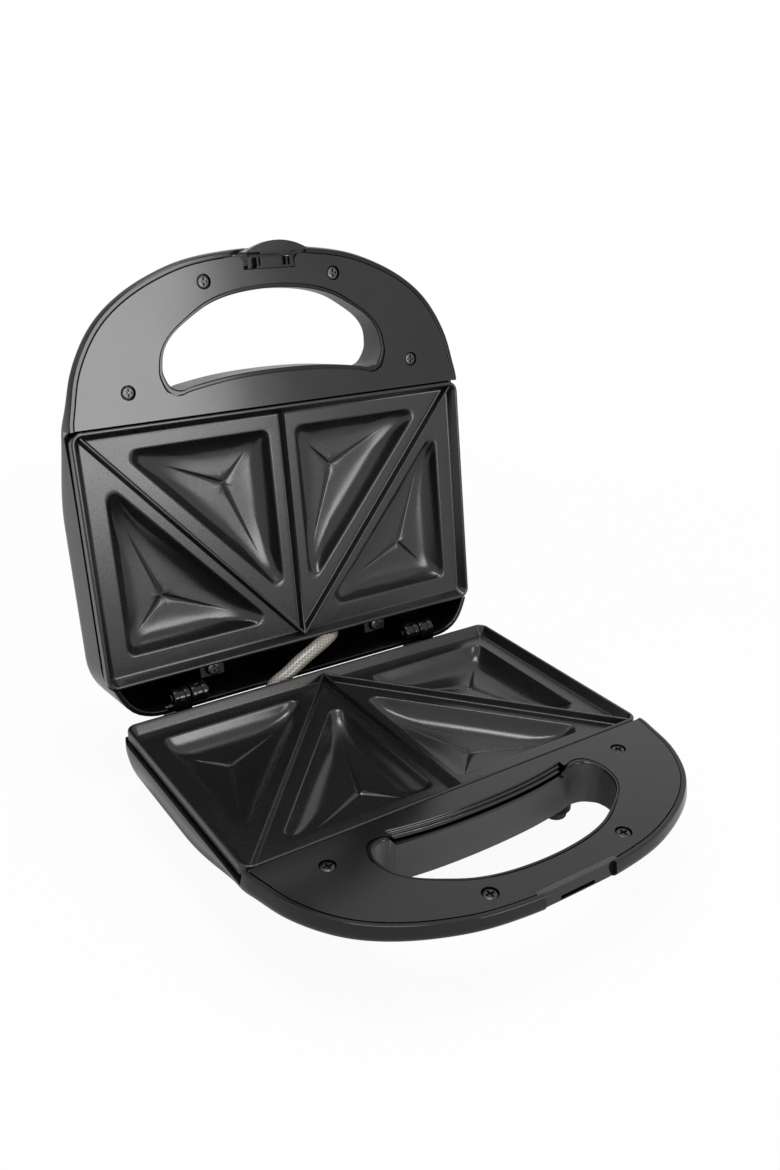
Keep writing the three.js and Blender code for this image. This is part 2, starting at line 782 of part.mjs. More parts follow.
// The tubular element: a long loop over the deepest lines of the pockets
function heatingElement() {
  const cells = pocketCorners();
  const near = roundTriangle(cells[0], landWidth, pocketCornerRadius, 0).centre.y;
  const far = roundTriangle(cells[1], landWidth, pocketCornerRadius, 0).centre.y;
  const bend = (near - far) / 2;
  const turnX = -(plateHalf - elementEndInset - bend);
  const leadX = plateHalf - elementEndInset - elementLeadInset;
  const arc = new THREE.CatmullRomCurve3([...Array(bendSteps + 1).keys()].map((s) => {
    const turn = (1 / 2 + s / bendSteps) * Math.PI;
    const y = (near + far) / 2 + bend * Math.sin(turn);
    return new THREE.Vector3(turnX + bend * Math.cos(turn), y, elementHeight);
  }));
  let tube = sweep(arc, elementRadius, smallSides, bendSteps);
  for (const y of [near, far]) {
    tube = tube.add(rod(turnX - clearance, leadX, y, elementHeight, elementRadius, smallSides));
    const pinEnd = leadX + elementPinLength;
    tube = tube.add(rod(leadX - clearance, pinEnd, y, elementHeight, elementPinRadius, smallSides));
  }
  return tube;
}

// A round section carried along a path
function sweep(path, radius, sides, steps) {
  const section = [];
  for (let s = 0; s < sides; s++) {
    const turn = s / sides * Math.PI * 2;
    section.push(new THREE.Vector2(radius * Math.cos(turn), radius * Math.sin(turn)));
  }
  const geometry = new THREE.ExtrudeGeometry(new THREE.Shape(section), {
    steps, bevelEnabled: false, extrudePath: path,
  });
  return solid(geometry);
}

// The pressed tray behind the element, with its rear tabs
function heatReflector() {
  const edge = rimWidth + trayEdgeGap;
  const inner = edge + trayThickness;
  const outside = loft([plateRing(edge, landBack + clearance), plateRing(edge + traySlope, trayBack)]);
  const inside = loft([
    plateRing(inner, landBack - overrun),
    plateRing(inner, landBack + clearance),
    plateRing(inner + traySlope, trayFront),
  ]);
  let tray = outside.subtract(inside);
  for (const x of [-tabOffset, tabOffset]) {
    const y1 = tabScrewSetback + tabEndMargin;
    const tab = box(x - tabHalfWidth, -edge - tabRoot, tabFront,
      x + tabHalfWidth, y1, tabFront + trayThickness);
    tray = tray.add(tab);
    tray = tray.subtract(post(x, tabScrewSetback, tabFront - overrun, trayBack, screwHoleRadius, smallSides));
  }
  return tray;
}

// A cross-head screw whose head faces the parting plane
function screw(x, y, seat) {
  const head = post(x, y, seat - screwHeadHeight, seat, screwHeadRadius, headSides);
  const shank = post(x, y, seat - clearance, seat + screwLength, screwShankRadius, shankSides);
  const low = seat - screwHeadHeight;
  const long = crossLength / 2;
  const thin = crossWidth / 2;
  const cross = box(x - long, y - thin, low - overrun, x + long, y + thin, low + crossDepth)
    .add(box(x - thin, y - long, low - overrun, x + thin, y + long, low + crossDepth));
  return head.add(shank).subtract(cross);
}

function foot(x, y) {
  const bottom = halfHeight + clearance;
  const pad = post(x, y, bottom, bottom + footHeight - footRound, footRadius)
    .add(post(x, y, bottom + footHeight - footRound, bottom + footHeight, footRadius, roundSides,
      footRadius - footRound));
  return pad.add(post(x, y, halfHeight - footStemHeight, bottom + footRound, footStemRadius, smallSides));
}

// A pin along the hinge axis with a head at its outer end
function hingePin(side) {
  const near = knuckleInner - pinOverhang;
  const far = knuckleInner + 2 * knuckleLength + knuckleGap + clearance;
  const head = [far, far + pinHeadLength];
  const height = -closedGap / 2;
  if (side > 0) {
    return rod(near, far + clearance, hingeSetback, height, hingePinRadius)
      .add(rod(head[0], head[1], hingeSetback, height, pinHeadRadius));
  }
  return rod(-far - clearance, -near, hingeSetback, height, hingePinRadius)
    .add(rod(-head[1], -head[0], hingeSetback, height, pinHeadRadius));
}

// The bush in the rear wall through which the supply cord enters
function cordBush() {
  const geometry = new THREE.LatheGeometry([
    new THREE.Vector2(bushBore, -bushCollar - shellWall),
    new THREE.Vector2(bushRadius, -bushCollar - shellWall),
    new THREE.Vector2(bushRadius, clearance),
    new THREE.Vector2(bushFlangeRadius, clearance),
    new THREE.Vector2(bushRadius, clearance + bushFlange),
    new THREE.Vector2(bushBore, clearance + bushFlange),
    new THREE.Vector2(bushBore, -bushCollar - shellWall),
  ], roundSides);
  geometry.translate(bushX, shellRear, bushHeight);
  return solid(geometry);
}

// The latch: barrel, hook bar, web and half-moon finger tab with its toe
function latch() {
  const axisY = -latchAxisBack;
  const barrel = rod(-latchBarrelLeft, latchBarrelRight, axisY, latchAxisHeight, latchBarrelRadius);
  const barFront = -windowFront + clearance;
  const bar = box(hookBarShift - hookBarWidth / 2, barFront, hookBarRecess,
    hookBarShift + hookBarWidth / 2, barFront + hookBarDepth, latchAxisHeight);
  const web = box(-latchWebHalfWidth, -tabMoonBack - clearance, latchWebBottom,
    latchWebHalfWidth, axisY, latchWebTop);
  const moonDepth = tabMoonFront - tabMoonBack;
  const moonRadius = (tabMoonHalfWidth ** 2 + moonDepth ** 2) / (2 * moonDepth);
  const spread = Math.asin(tabMoonHalfWidth / moonRadius);
  const heart = -tabMoonFront + moonRadius;
  const outline = [];
  for (let s = 0; s <= smallSides; s++) {
    const turn = -Math.PI / 2 - spread + s / smallSides * 2 * spread;
    outline.push(new THREE.Vector2(moonRadius * Math.cos(turn), heart + moonRadius * Math.sin(turn)));
  }
  const moon = slab(outline, -tabMoonDrop, tabMoonRise);
  const toe = box(-toeHalfWidth, -tabMoonBack - clearance, -toeBottom,
    toeHalfWidth, -tabMoonBack + toeReach, -toeTop);
  const reach = latchBarrelRight + overrun;
  const bore = rod(-reach, reach, axisY, latchAxisHeight, latchPinRadius + latchBoreClearance);
  return barrel.add(bar).add(web).add(moon).add(toe).subtract(bore);
}

function latchPin() {
  const reach = latchBarrelRight + clearance + latchLugWidth;
  return rod(-reach, reach, -latchAxisBack, latchAxisHeight, latchPinRadius, smallSides);
}

function latchSpring() {
  const end = -latchBarrelLeft - clearance;
  const outside = rod(end - springLength, end, -latchAxisBack, latchAxisHeight, springRadius, smallSides);
  return outside.subtract(rod(end - springLength - overrun, end + overrun, -latchAxisBack, latchAxisHeight,
    latchPinRadius + clearance, smallSides));
}

// Small pieces behind the lid's tray
function thermostat() {
  const low = trayBack + clearance;
  return post(thermostatX, -thermostatBack, low, low + thermostatHeight, thermostatRadius);
}

function thermalFuse() {
  const height = trayBack + clearance + fuseRadius;
  return rod(-thermostatX - fuseLength, -thermostatX, -thermostatBack, height, fuseRadius, smallSides);
}

function indicatorBoard() {
  const low = trayBack + clearance;
  const [width, depth, thick] = boardSize;
  const top = low + boardRise;
  const plateBoard = box(-width / 2, -boardBack - depth / 2, top - clearance, width / 2, -boardBack + depth / 2,
    top - clearance + thick);
  const spacer = box(-boardPostRadius, -boardBack - boardPostRadius, low, boardPostRadius,
    -boardBack + boardPostRadius, top);
  return plateBoard.add(spacer);
}

function lampLens(side) {
  const low = trayBack + boardRise + boardSize[2] + lensLift;
  const slopeShare = (-frontY - boardBack) / (-frontY - crownFrontBack);
  const surface = frontWallHeight + (halfHeight - frontWallHeight) * slopeShare ** frontFallShare;
  return post(side * lensSpacing / 2, -boardBack, low, surface + lensProud, lensRadius, roundSides,
    lensRadius - lensRound);
}

function terminal() {
  const [width, depth, high] = terminalBlock;
  const top = innerHeight - clearance;
  return box(-width / 2, -terminalBlockBack - depth / 2, top - high,
    width / 2, -terminalBlockBack + depth / 2, top);
}

function wiringSleeve() {
  const path = new THREE.CatmullRomCurve3(sleevePoints.map((p) => new THREE.Vector3(...p)));
  return sweep(path, sleeveRadius, sleeveSides, sleeveSteps);
}

// Everything that one half carries, in its own frame with +Z away from the parting plane
function halfPieces(upper) {
  const group = new THREE.Group();
  const prefix = upper ? 'upper' : 'lower';
  group.add(piece(`${prefix}_housing`, housing(upper), 'shell'));
  group.add(piece(`${prefix}_handle_cover`, handleCover(upper), 'facing'));
  group.add(piece(`${prefix}_plate`, plate(), 'plate'));
  group.add(piece(`${prefix}_heating_element`, heatingElement(), 'element'));
  group.add(piece(`${prefix}_heat_reflector`, heatReflector(), 'tray'));
  coverScrewPlaces.forEach(([x, y], i) => {
    group.add(piece(`${prefix}_cover_screw_${i + 1}`, screw(x, y, counterboreDepth - clearance), 'screw'));
  });
  for (const side of [-1, 1]) {
    const word = (side > 0) === upper ? 'right' : 'left';
    const body = screw(side * tabOffset, tabScrewSetback, tabFront - clearance);
    group.add(piece(`${prefix}_tab_screw_${word}`, body, 'screw'));
  }
  return group;
}

// The lower half lies upside down under the parting plane
const lower = halfPieces(false);
lower.rotation.y = Math.PI;
lower.position.z = -closedGap / 2;
footPlaces.forEach(([x, y], i) => {
  const names = ['foot_front_left', 'foot_front_right', 'foot_rear_left', 'foot_rear_right'];
  lower.add(piece(names[i], foot(x, y), 'rubber'));
});
lower.add(piece('hinge_pin_left', hingePin(1), 'steel'));
lower.add(piece('hinge_pin_right', hingePin(-1), 'steel'));
lower.add(piece('cord_bush', cordBush(), 'rubber'));
lower.add(piece('terminal_block', terminal(), 'ceramic'));

// The lid turns back about the hinge axis
const lid = new THREE.Group();
lid.position.y = hingeSetback;
lid.rotation.x = -openingAngle;
const upper = halfPieces(true);
upper.position.set(0, -hingeSetback, closedGap / 2);
upper.add(piece('latch', latch(), 'shell'));
upper.add(piece('latch_pin', latchPin(), 'steel'));
upper.add(piece('latch_spring', latchSpring(), 'steel'));
upper.add(piece('thermostat', thermostat(), 'ceramic'));
upper.add(piece('thermal_fuse', thermalFuse(), 'ceramic'));
upper.add(piece('indicator_board', indicatorBoard(), 'board'));
upper.add(piece('power_lamp_lens', lampLens(-1), 'red'));
upper.add(piece('ready_lamp_lens', lampLens(1), 'green'));
lid.add(upper);

// The whole part stands on its feet, centred over its own footprint
const model = new THREE.Group();
model.add(lower, lid, piece('wiring_sleeve', wiringSleeve(), 'sleeve'));
model.updateMatrixWorld(true);
const reach = new THREE.Box3().setFromObject(model, true);
model.position.set(0, -(reach.min.y + reach.max.y) / 2, -reach.min.z);

export default model;
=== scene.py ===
"""Looks of an open two-slice sandwich maker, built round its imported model."""

import json
import logging
import math
from dataclasses import dataclass
from enum import Enum
from typing import Callable, Iterable, Sequence

import bmesh
import bpy
import numpy as np
from mathutils import Matrix, Vector
from mathutils.geometry import tessellate_polygon

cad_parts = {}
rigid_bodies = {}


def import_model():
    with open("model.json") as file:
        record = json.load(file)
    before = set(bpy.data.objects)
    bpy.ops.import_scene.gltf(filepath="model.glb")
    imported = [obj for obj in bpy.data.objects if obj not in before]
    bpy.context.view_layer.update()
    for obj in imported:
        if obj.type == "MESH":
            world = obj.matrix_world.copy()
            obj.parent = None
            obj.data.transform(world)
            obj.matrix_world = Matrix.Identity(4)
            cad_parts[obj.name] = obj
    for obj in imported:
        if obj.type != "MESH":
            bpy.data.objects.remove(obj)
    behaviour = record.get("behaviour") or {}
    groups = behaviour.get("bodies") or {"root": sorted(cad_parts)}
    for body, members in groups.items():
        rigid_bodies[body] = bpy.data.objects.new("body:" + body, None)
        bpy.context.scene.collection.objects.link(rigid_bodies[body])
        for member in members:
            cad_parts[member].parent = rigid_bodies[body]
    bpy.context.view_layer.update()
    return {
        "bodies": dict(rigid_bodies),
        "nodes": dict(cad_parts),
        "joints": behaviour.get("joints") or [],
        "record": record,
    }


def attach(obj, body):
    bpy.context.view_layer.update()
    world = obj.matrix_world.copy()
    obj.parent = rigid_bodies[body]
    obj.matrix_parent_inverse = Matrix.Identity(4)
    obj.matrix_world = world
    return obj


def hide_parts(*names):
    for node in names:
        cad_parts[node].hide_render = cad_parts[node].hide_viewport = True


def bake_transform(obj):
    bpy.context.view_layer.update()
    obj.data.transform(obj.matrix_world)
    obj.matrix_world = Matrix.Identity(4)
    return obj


LOG = logging.getLogger("sandwich_maker")
MM = 0.001
Colour = tuple[float, float, float]
Points = np.ndarray


class Half(Enum):
    """Which half of the part a piece belongs to."""

    LOWER = "lower"
    UPPER = "upper"


class Op(Enum):
    """How one closed form changes another."""

    JOIN = "UNION"
    CUT = "DIFFERENCE"
    KEEP = "INTERSECT"


# ---- sizes in millimetres, in the half frame: x across, y from the hinge edge, w outward


@dataclass(frozen=True)
class Sizes:
    """Sizes that several pieces share."""

    plate_half: float = 115.0
    plate_depth: float = 131.5
    seam_y: float = -132.1
    front_y: float = -213.6
    hinge_y: float = 14.0
    closed_gap: float = 0.6
    half_height: float = 40.0
    wall: float = 2.5
    gap: float = 0.3
    shell_half: float = 118.4
    shell_rear: float = 19.2
    rear_corner: float = 29.0
    lip_inset: float = 1.4
    crown_rear: float = 17.0
    crown_front: float = -100.0
    opening_half: float = 66.5
    opening_back: float = -150.0
    opening_depth: float = 43.5
    tube_inner: float = -1.2
    tube_outer: float = 1.3
    tube_edge: float = 0.5
    rim_round: tuple = ((-3.0, 0.75), (0.0, 0.75), (0.08, 0.5), (0.25, 0.25), (0.5, 0.08), (0.85, 0.0))
    facing_edge: float = 1.2
    tongue_half: float = 51.4
    tongue_back: float = 5.0
    cover_thickness: float = 2.5
    well_radius: float = 6.2
    well_depth: float = 5.2
    bore_radius: float = 3.9
    bore_depth: float = 3.4
    rim_width: float = 3.0
    rim_slope: float = 1.6
    land: float = 5.0
    casting: float = 2.6
    skirt: float = 8.6
    tab_seat: float = 13.0
    knuckle: float = 5.0
    knuckle_start: float = 65.0
    knuckle_length: float = 9.4
    knuckle_gap: float = 0.8
    tab_x: float = 54.0
    tab_y: float = 8.0
    latch_y: float = -202.6
    latch_w: float = 5.5
    cord_x: float = 52.0
    cord_w: float = 26.0
    thread: float = 1.6


@dataclass(frozen=True)
class Dome:
    """How one half's sides rise to its crown."""

    side_wall: float
    front_wall: float
    crown_side: float
    crown_shoulder: float
    blend: tuple[float, float]


SIZE = Sizes()
DOMES = {Half.LOWER: Dome(8.0, 7.8, 24.4, -92.0, (-0.78, 0.38)),
         Half.UPPER: Dome(26.0, 4.5, 14.0, -88.0, (-0.61, 0.29))}
COVER_SCREWS = ((-85.0, -147.5), (85.0, -147.5), (-38.0, -197.7), (38.0, -197.7))
FEET = {"front_left": (66.0, -127.0), "front_right": (-66.0, -127.0),
        "rear_left": (66.0, -5.0), "rear_right": (-66.0, -5.0)}
FRONT_SHARES = ((1, 0), (0.98, 0.15), (0.945, 0.335), (0.88, 0.515), (0.8, 0.655),
                (0.69, 0.775), (0.555, 0.873), (0.4, 0.947), (0.21, 0.987), (0, 1))
OPENING_SHARES = ((0, 0), (0.41, -0.023), (0.75, -0.092), (0.86, -0.131), (0.95, -0.08),
                  (0.995, 0.06), (1, 0.17), (0.97, 0.363), (0.887, 0.536), (0.74, 0.703),
                  (0.546, 0.867), (0.305, 0.965), (0, 1))


class Placing:
    """Where the half frames and the hinge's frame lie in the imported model."""

    def __init__(self, joints: Iterable[dict]) -> None:
        """Read the hinge's place and its range.

        Args:
            joints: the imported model's joints.
        """
        hinge = next(j for j in joints if j["name"] == "lid_hinge")
        self.hinge = Vector(hinge["pos_m"])
        self.angle = math.radians(hinge["range_deg"][1])
        self.rim = self.hinge - Vector((0, SIZE.hinge_y * MM, 0))

    def matrix(self, half: Half) -> Matrix:
        """Give the move from a half frame in millimetres to the model in metres.

        Args:
            half: which half the frame belongs to.

        Returns:
            The move as a matrix.
        """
        scale = Matrix.Scale(MM, 4)
        if half is Half.LOWER:
            drop = Matrix.Translation((0, 0, -SIZE.closed_gap / 2))
            return Matrix.Translation(self.rim) @ scale @ drop @ Matrix.Rotation(math.pi, 4, "Y")
        turn = Matrix.Rotation(-self.angle, 4, "X")
        shift = Matrix.Translation((0, -SIZE.hinge_y, SIZE.closed_gap / 2))
        return Matrix.Translation(self.hinge) @ scale @ turn @ shift


# ---- outlines


def spline(points: Points, per_span: int) -> Points:
    """Draw a smooth curve through all but the first and the last of some points.

    Args:
        points: the points; the outer two only guide the ends.
        per_span: steps between two neighbours.

    Returns:
        The curve's points.
    """
    out = []
    for i in range(1, len(points) - 2):
        a, b, c, d = points[i - 1:i + 3]
        for t in np.arange(per_span) / per_span:
            out.append(0.5 * (2 * b + (c - a) * t + (2 * a - 5 * b + 4 * c - d) * t ** 2
                              + (3 * b - a - 3 * c + d) * t ** 3))
    return np.array([*out, points[-2]])


def travelled(line: Points) -> Points:
    """Give the length along a line at each of its points."""
    return np.concatenate([[0], np.cumsum(np.linalg.norm(np.diff(line, axis=0), axis=1))])


def evened(line: Points, steps: int) -> Points:
    """Space a line's points evenly along its length."""
    at = np.linspace(0, travelled(line)[-1], steps + 1)
    return np.column_stack([np.interp(at, travelled(line), column) for column in line.T])


def smooth_curve(shares: Sequence[Sequence[float]], per_span: int) -> Points:
    """Draw a smooth curve through points whose ends lie on lines of symmetry.

    Args:
        shares: the points; the first is mirrored in y and the last in x.
        per_span: steps between two neighbours.

    Returns:
        The curve's points.
    """
    points = np.array(shares, float)
    first = np.array((points[1][0], -points[1][1])) if points[0][0] else points[1] * (-1, 1)
    last = points[-2] * (-1, 1)
    curve = spline(np.vstack([first, points, last]), per_span)
    return evened(curve, per_span * (len(points) - 1))


FRONT_CURVE = smooth_curve(FRONT_SHARES, 7)
OPENING_CURVE = smooth_curve(OPENING_SHARES, 10)


def mirrored(right: Points) -> Points:
    """Close a right half outline with its mirror image, without repeated points."""
    return np.vstack([right, right[1:-1][::-1] * np.array((-1, 1))])


def plan_half(half_width: float, back: float, corner: float, shoulder: float, front: float) -> Points:
    """Draw the right half of a plan: front sweep, straight side, rear corner, rear edge.

    Args:
        half_width: half the plan's width.
        back: the rear edge's place.
        corner: the rear corner's radius.
        shoulder: where the front sweep starts.
        front: where it ends on the centre line.

    Returns:
        Points from the front centre to the rear centre.
    """
    across, along = FRONT_CURVE.T
    out = list(np.column_stack([half_width * across, shoulder - (shoulder - front) * along])[::-1])
    side_steps, corner_steps, rear_steps = 26, 12, 24
    for i in range(1, side_steps):
        out.append((half_width, shoulder + (back - corner - shoulder) * i / side_steps))
    for a in np.linspace(0, math.pi / 2, corner_steps + 1):
        out.append((half_width - corner + corner * math.cos(a), back - corner + corner * math.sin(a)))
    for i in range(1, rear_steps + 1):
        out.append(((half_width - corner) * (1 - i / rear_steps), back))
    return np.array(out)


def shell_half(inset: float) -> Points:
    """Draw the right half of the housing's plan, drawn in by an even amount."""
    return plan_half(SIZE.shell_half - inset, SIZE.shell_rear - inset,
                     max(SIZE.rear_corner - inset, SIZE.wall), SIZE.seam_y, SIZE.front_y + inset)


def opening_outline(margin: float) -> Points:
    """Draw the hand opening, widened by a margin."""
    x = (SIZE.opening_half + margin) * OPENING_CURVE[:, 0]
    y = SIZE.opening_back + margin - (SIZE.opening_depth + 2 * margin) * OPENING_CURVE[:, 1]
    return mirrored(np.column_stack([x, y]))[::-1]


def half_moon(half_width: float, back: float, front: float, shift: float = 0.5) -> Points:
    """Draw a half-moon between its straight side and the middle of its arc.

    Args:
        half_width: half its width.
        back: its straight side's place.
        front: the arc's place in the middle.
        shift: how far its middle lies beside the part's middle.

    Returns:
        The closed outline.
    """
    depth, steps = back - front, 41
    radius = (half_width ** 2 + depth ** 2) / (2 * depth)
    spread = math.asin(half_width / radius)
    a = np.linspace(-spread, spread, steps) - math.pi / 2
    return np.column_stack([shift + radius * np.cos(a), front + radius + radius * np.sin(a)])


def smoothstep(t: Points, low: float, high: float) -> Points:
    """Ease from 0 to 1 between two values."""
    s = np.clip((t - low) / (high - low), 0, 1)
    return s * s * (3 - 2 * s)


# ---- closed forms


class Form:
    """A closed mesh in millimetres that other forms join, cut or bound."""

    def __init__(self, vertices: Sequence, faces: Sequence) -> None:
        """Make the form's mesh.

        Args:
            vertices: its corners.
            faces: corner numbers of each face.
        """
        self.mesh = bpy.data.meshes.new("form")
        self.mesh.from_pydata([tuple(map(float, v)) for v in vertices], [],
                              [tuple(map(int, f)) for f in faces])
        self._edit(lambda m: bmesh.ops.recalc_face_normals(m, faces=m.faces))
        self.changes: list[tuple[Op, "Form"]] = []

    def _edit(self, change: Callable[[bmesh.types.BMesh], None]) -> None:
        """Run one change on the mesh."""
        m = bmesh.new()
        m.from_mesh(self.mesh)
        change(m)
        m.to_mesh(self.mesh)
        m.free()

    def join(self, *others: "Form") -> "Form":
        """Add other forms."""
        self.changes += [(Op.JOIN, o) for o in others]
        return self

    def cut(self, *others: "Form") -> "Form":
        """Take other forms away."""
        self.changes += [(Op.CUT, o) for o in others]
        return self

    def keep(self, other: "Form") -> "Form":
        """Keep only what lies inside another form."""
        self.changes.append((Op.KEEP, other))
        return self

    def settle(self) -> "Form":
        """Carry out the joins and cuts that were asked for, in order.

        Returns:
            The form itself.
        """
        if not self.changes:
            return self
        scene = bpy.context.scene.collection
        body = bpy.data.objects.new("body", self.mesh)
        scene.objects.link(body)
        tools = []
        for op, other in self.changes:
            other.settle()
            tool = bpy.data.objects.new("tool", other.mesh)
            scene.objects.link(tool)
            tools.append(tool)
            change = body.modifiers.new("change", "BOOLEAN")
            change.operation = op.value
            change.object = tool
            change.solver = "MANIFOLD"
        shaped = body.evaluated_get(bpy.context.evaluated_depsgraph_get())
        self.mesh = bpy.data.meshes.new_from_object(shaped)
        for o in [body, *tools]:
            bpy.data.objects.remove(o)
        self.changes = []
        return self

    def clean(self, distance: float = 0.02) -> "Form":
        """Merge corners that lie together and drop slivers."""
        def change(m: bmesh.types.BMesh) -> None:
            """Merge and drop."""
            bmesh.ops.remove_doubles(m, verts=m.verts, dist=distance)
            bmesh.ops.dissolve_degenerate(m, dist=distance / 2, edges=m.edges)
        self._edit(change)
        return self

    def soften(self, width: float, degrees: float = 40, steps: int = 2) -> "Form":
        """Round the sharp edges.

        Args:
            width: how far the rounding reaches from the edge.
            degrees: the least angle between two faces that counts as sharp.
            steps: faces across the rounding.

        Returns:
            The form itself.
        """
        self.settle().clean()
        limit = math.radians(degrees)

        def change(m: bmesh.types.BMesh) -> None:
            """Round every edge between two steep faces."""
            sharp = [e for e in m.edges if len(e.link_faces) == 2 and e.calc_face_angle(0) > limit]
            bmesh.ops.bevel(m, geom=sharp, offset=width, offset_type="OFFSET", segments=steps,
                            profile=0.5, affect="EDGES", clamp_overlap=True, miter_outer="ARC")
        self._edit(change)
        return self

    def finish(self, name: str, place: Matrix, look: bpy.types.Material, smooth: float,
               weighted: bool) -> bpy.types.Object:
        """Turn the form into a piece of the scene.

        Args:
            name: the piece's name.
            place: the move into the model.
            look: its finish.
            smooth: faces that meet at less than this many degrees shade as one.
            weighted: whether large faces decide the shading.

        Returns:
            The piece.
        """
        self.settle()
        self.mesh.transform(place)
        self.mesh.name = name
        piece = bpy.data.objects.new(name, self.mesh)
        bpy.context.scene.collection.objects.link(piece)
        self.mesh.materials.clear()
        self.mesh.materials.append(look)
        limit = math.radians(smooth)

        def shade(m: bmesh.types.BMesh) -> None:
            """Shade every face smoothly up to the sharp edges."""
            for f in m.faces:
                f.smooth = True
                f.material_index = 0
            for e in m.edges:
                e.smooth = len(e.link_faces) == 2 and e.calc_face_angle(0) < limit
        self._edit(shade)
        if weighted:
            shading = piece.modifiers.new("shading", "WEIGHTED_NORMAL")
            shading.keep_sharp = True
            shading.weight = 60
        return piece


def bands(rows: Sequence[Sequence[int]]) -> list[tuple[int, ...]]:
    """Join neighbouring rings of corner numbers by four-sided faces."""
    return [(a[i], a[(i + 1) % len(a)], b[(i + 1) % len(a)], b[i])
            for a, b in zip(rows, rows[1:]) for i in range(len(a))]


def loft(rings: Sequence[Points], closed: bool = False) -> Form:
    """Skin a row of closed rings of equal count.

    Args:
        rings: the rings, each an array of points.
        closed: whether the last ring runs on into the first; else flat faces close the ends.

    Returns:
        The skinned form.
    """
    count = len(rings[0])
    rows = [tuple(range(r * count, (r + 1) * count)) for r in range(len(rings))]
    faces = bands([*rows, rows[0]]) if closed else [*bands(rows), rows[0][::-1], rows[-1]]
    return Form(np.vstack(rings), faces)


def at_height(outline: Points, height: float) -> Points:
    """Lift a plan outline to a height."""
    return np.column_stack([outline, np.full(len(outline), float(height))])


def slab(outline: Points, low: float, high: float) -> Form:
    """Push a closed outline from one height to another."""
    return loft([at_height(outline, low), at_height(outline, high)])


def block(low: Sequence[float], high: Sequence[float]) -> Form:
    """Make a box between two corners."""
    outline = np.array(((low[0], low[1]), (high[0], low[1]), (high[0], high[1]), (low[0], high[1])))
    return slab(outline, low[2], high[2])


def circle(x: float, y: float, radius: float, sides: int) -> Points:
    """Draw a circle as a closed outline."""
    a = np.arange(sides) / sides * 2 * math.pi
    return np.column_stack([x + radius * np.cos(a), y + radius * np.sin(a)])


def turned(x: float, y: float, profile: Sequence[Sequence[float]], sides: int = 40) -> Form:
    """Turn a profile of (radius, height) pairs round an upright line."""
    return loft([at_height(circle(x, y, r, sides), h) for r, h in profile])


def post(x: float, y: float, radius: float, low: float, high: float, sides: int) -> Form:
    """Make an upright round post or bore."""
    return turned(x, y, ((radius, low), (radius, high)), sides)


def cord_ring(radius: float, y: float, sides: int) -> Points:
    """Draw a circle round the supply cord's line at a depth."""
    around = circle(SIZE.cord_x, SIZE.cord_w, radius, sides)
    return np.column_stack([around[:, 0], np.full(sides, y), around[:, 1]])


def both_sides(near: float, far: float) -> tuple[tuple[float, float], tuple[float, float]]:
    """Give a span across and its mirror image."""
    return (near, far), (-far, -near)


def bar(x0: float, x1: float, y: float, w: float, radius: float, sides: int = 40, edge: float = 0.0) -> Form:
    """Make a round bar along x, with its ends rounded by an edge.

    Args:
        x0: where it starts.
        x1: where it ends.
        y: its line's place in depth.
        w: its line's height.
        radius: its radius.
        sides: faces round it.
        edge: the rounding of its ends.

    Returns:
        The bar.
    """
    stops = [(x0, radius), (x1, radius)]
    if edge:
        turns = [math.radians(d) for d in (0, 30, 60, 90)]
        start = [(x0 + edge - edge * math.cos(t), radius - edge + edge * math.sin(t)) for t in turns]
        stops = start + [(x0 + x1 - x, r) for x, r in start[::-1]]
    return loft([np.column_stack([np.full(sides, x), circle(y, w, r, sides)]) for x, r in stops])


# ---- shader expressions


class Value:
    """A number in a shader that can be written in expressions."""

    def __init__(self, shader: "Shader", socket: bpy.types.NodeSocket) -> None:
        """Wrap a socket."""
        self.shader = shader
        self.socket = socket

    def _math(self, operation: str, *terms: "Value | float") -> "Value":
        """Add one Math node."""
        made = self.shader.node("ShaderNodeMath", {"operation": operation}, dict(enumerate(terms)))
        return Value(self.shader, made.outputs[0])

    def __add__(self, other: "Value | float") -> "Value":
        """Add."""
        return self._math("ADD", self, other)

    def __sub__(self, other: "Value | float") -> "Value":
        """Subtract."""
        return self._math("SUBTRACT", self, other)

    def __rsub__(self, other: float) -> "Value":
        """Subtract from a number."""
        return self._math("SUBTRACT", other, self)

    def __mul__(self, other: "Value | float") -> "Value":
        """Multiply."""
        return self._math("MULTIPLY", self, other)

    def __pow__(self, other: float) -> "Value":
        """Raise to a power."""
        return self._math("POWER", self, other)

    __radd__ = __add__
    __rmul__ = __mul__

    def sine(self) -> "Value":
        """Take the sine."""
        return self._math("SINE", self)

    def largest(self, other: "Value | float") -> "Value":
        """Take the larger of two."""
        return self._math("MAXIMUM", self, other)

    def clipped(self) -> "Value":
        """Keep between 0 and 1."""
        return self._math("MINIMUM", self._math("MAXIMUM", self, 0.0), 1.0)


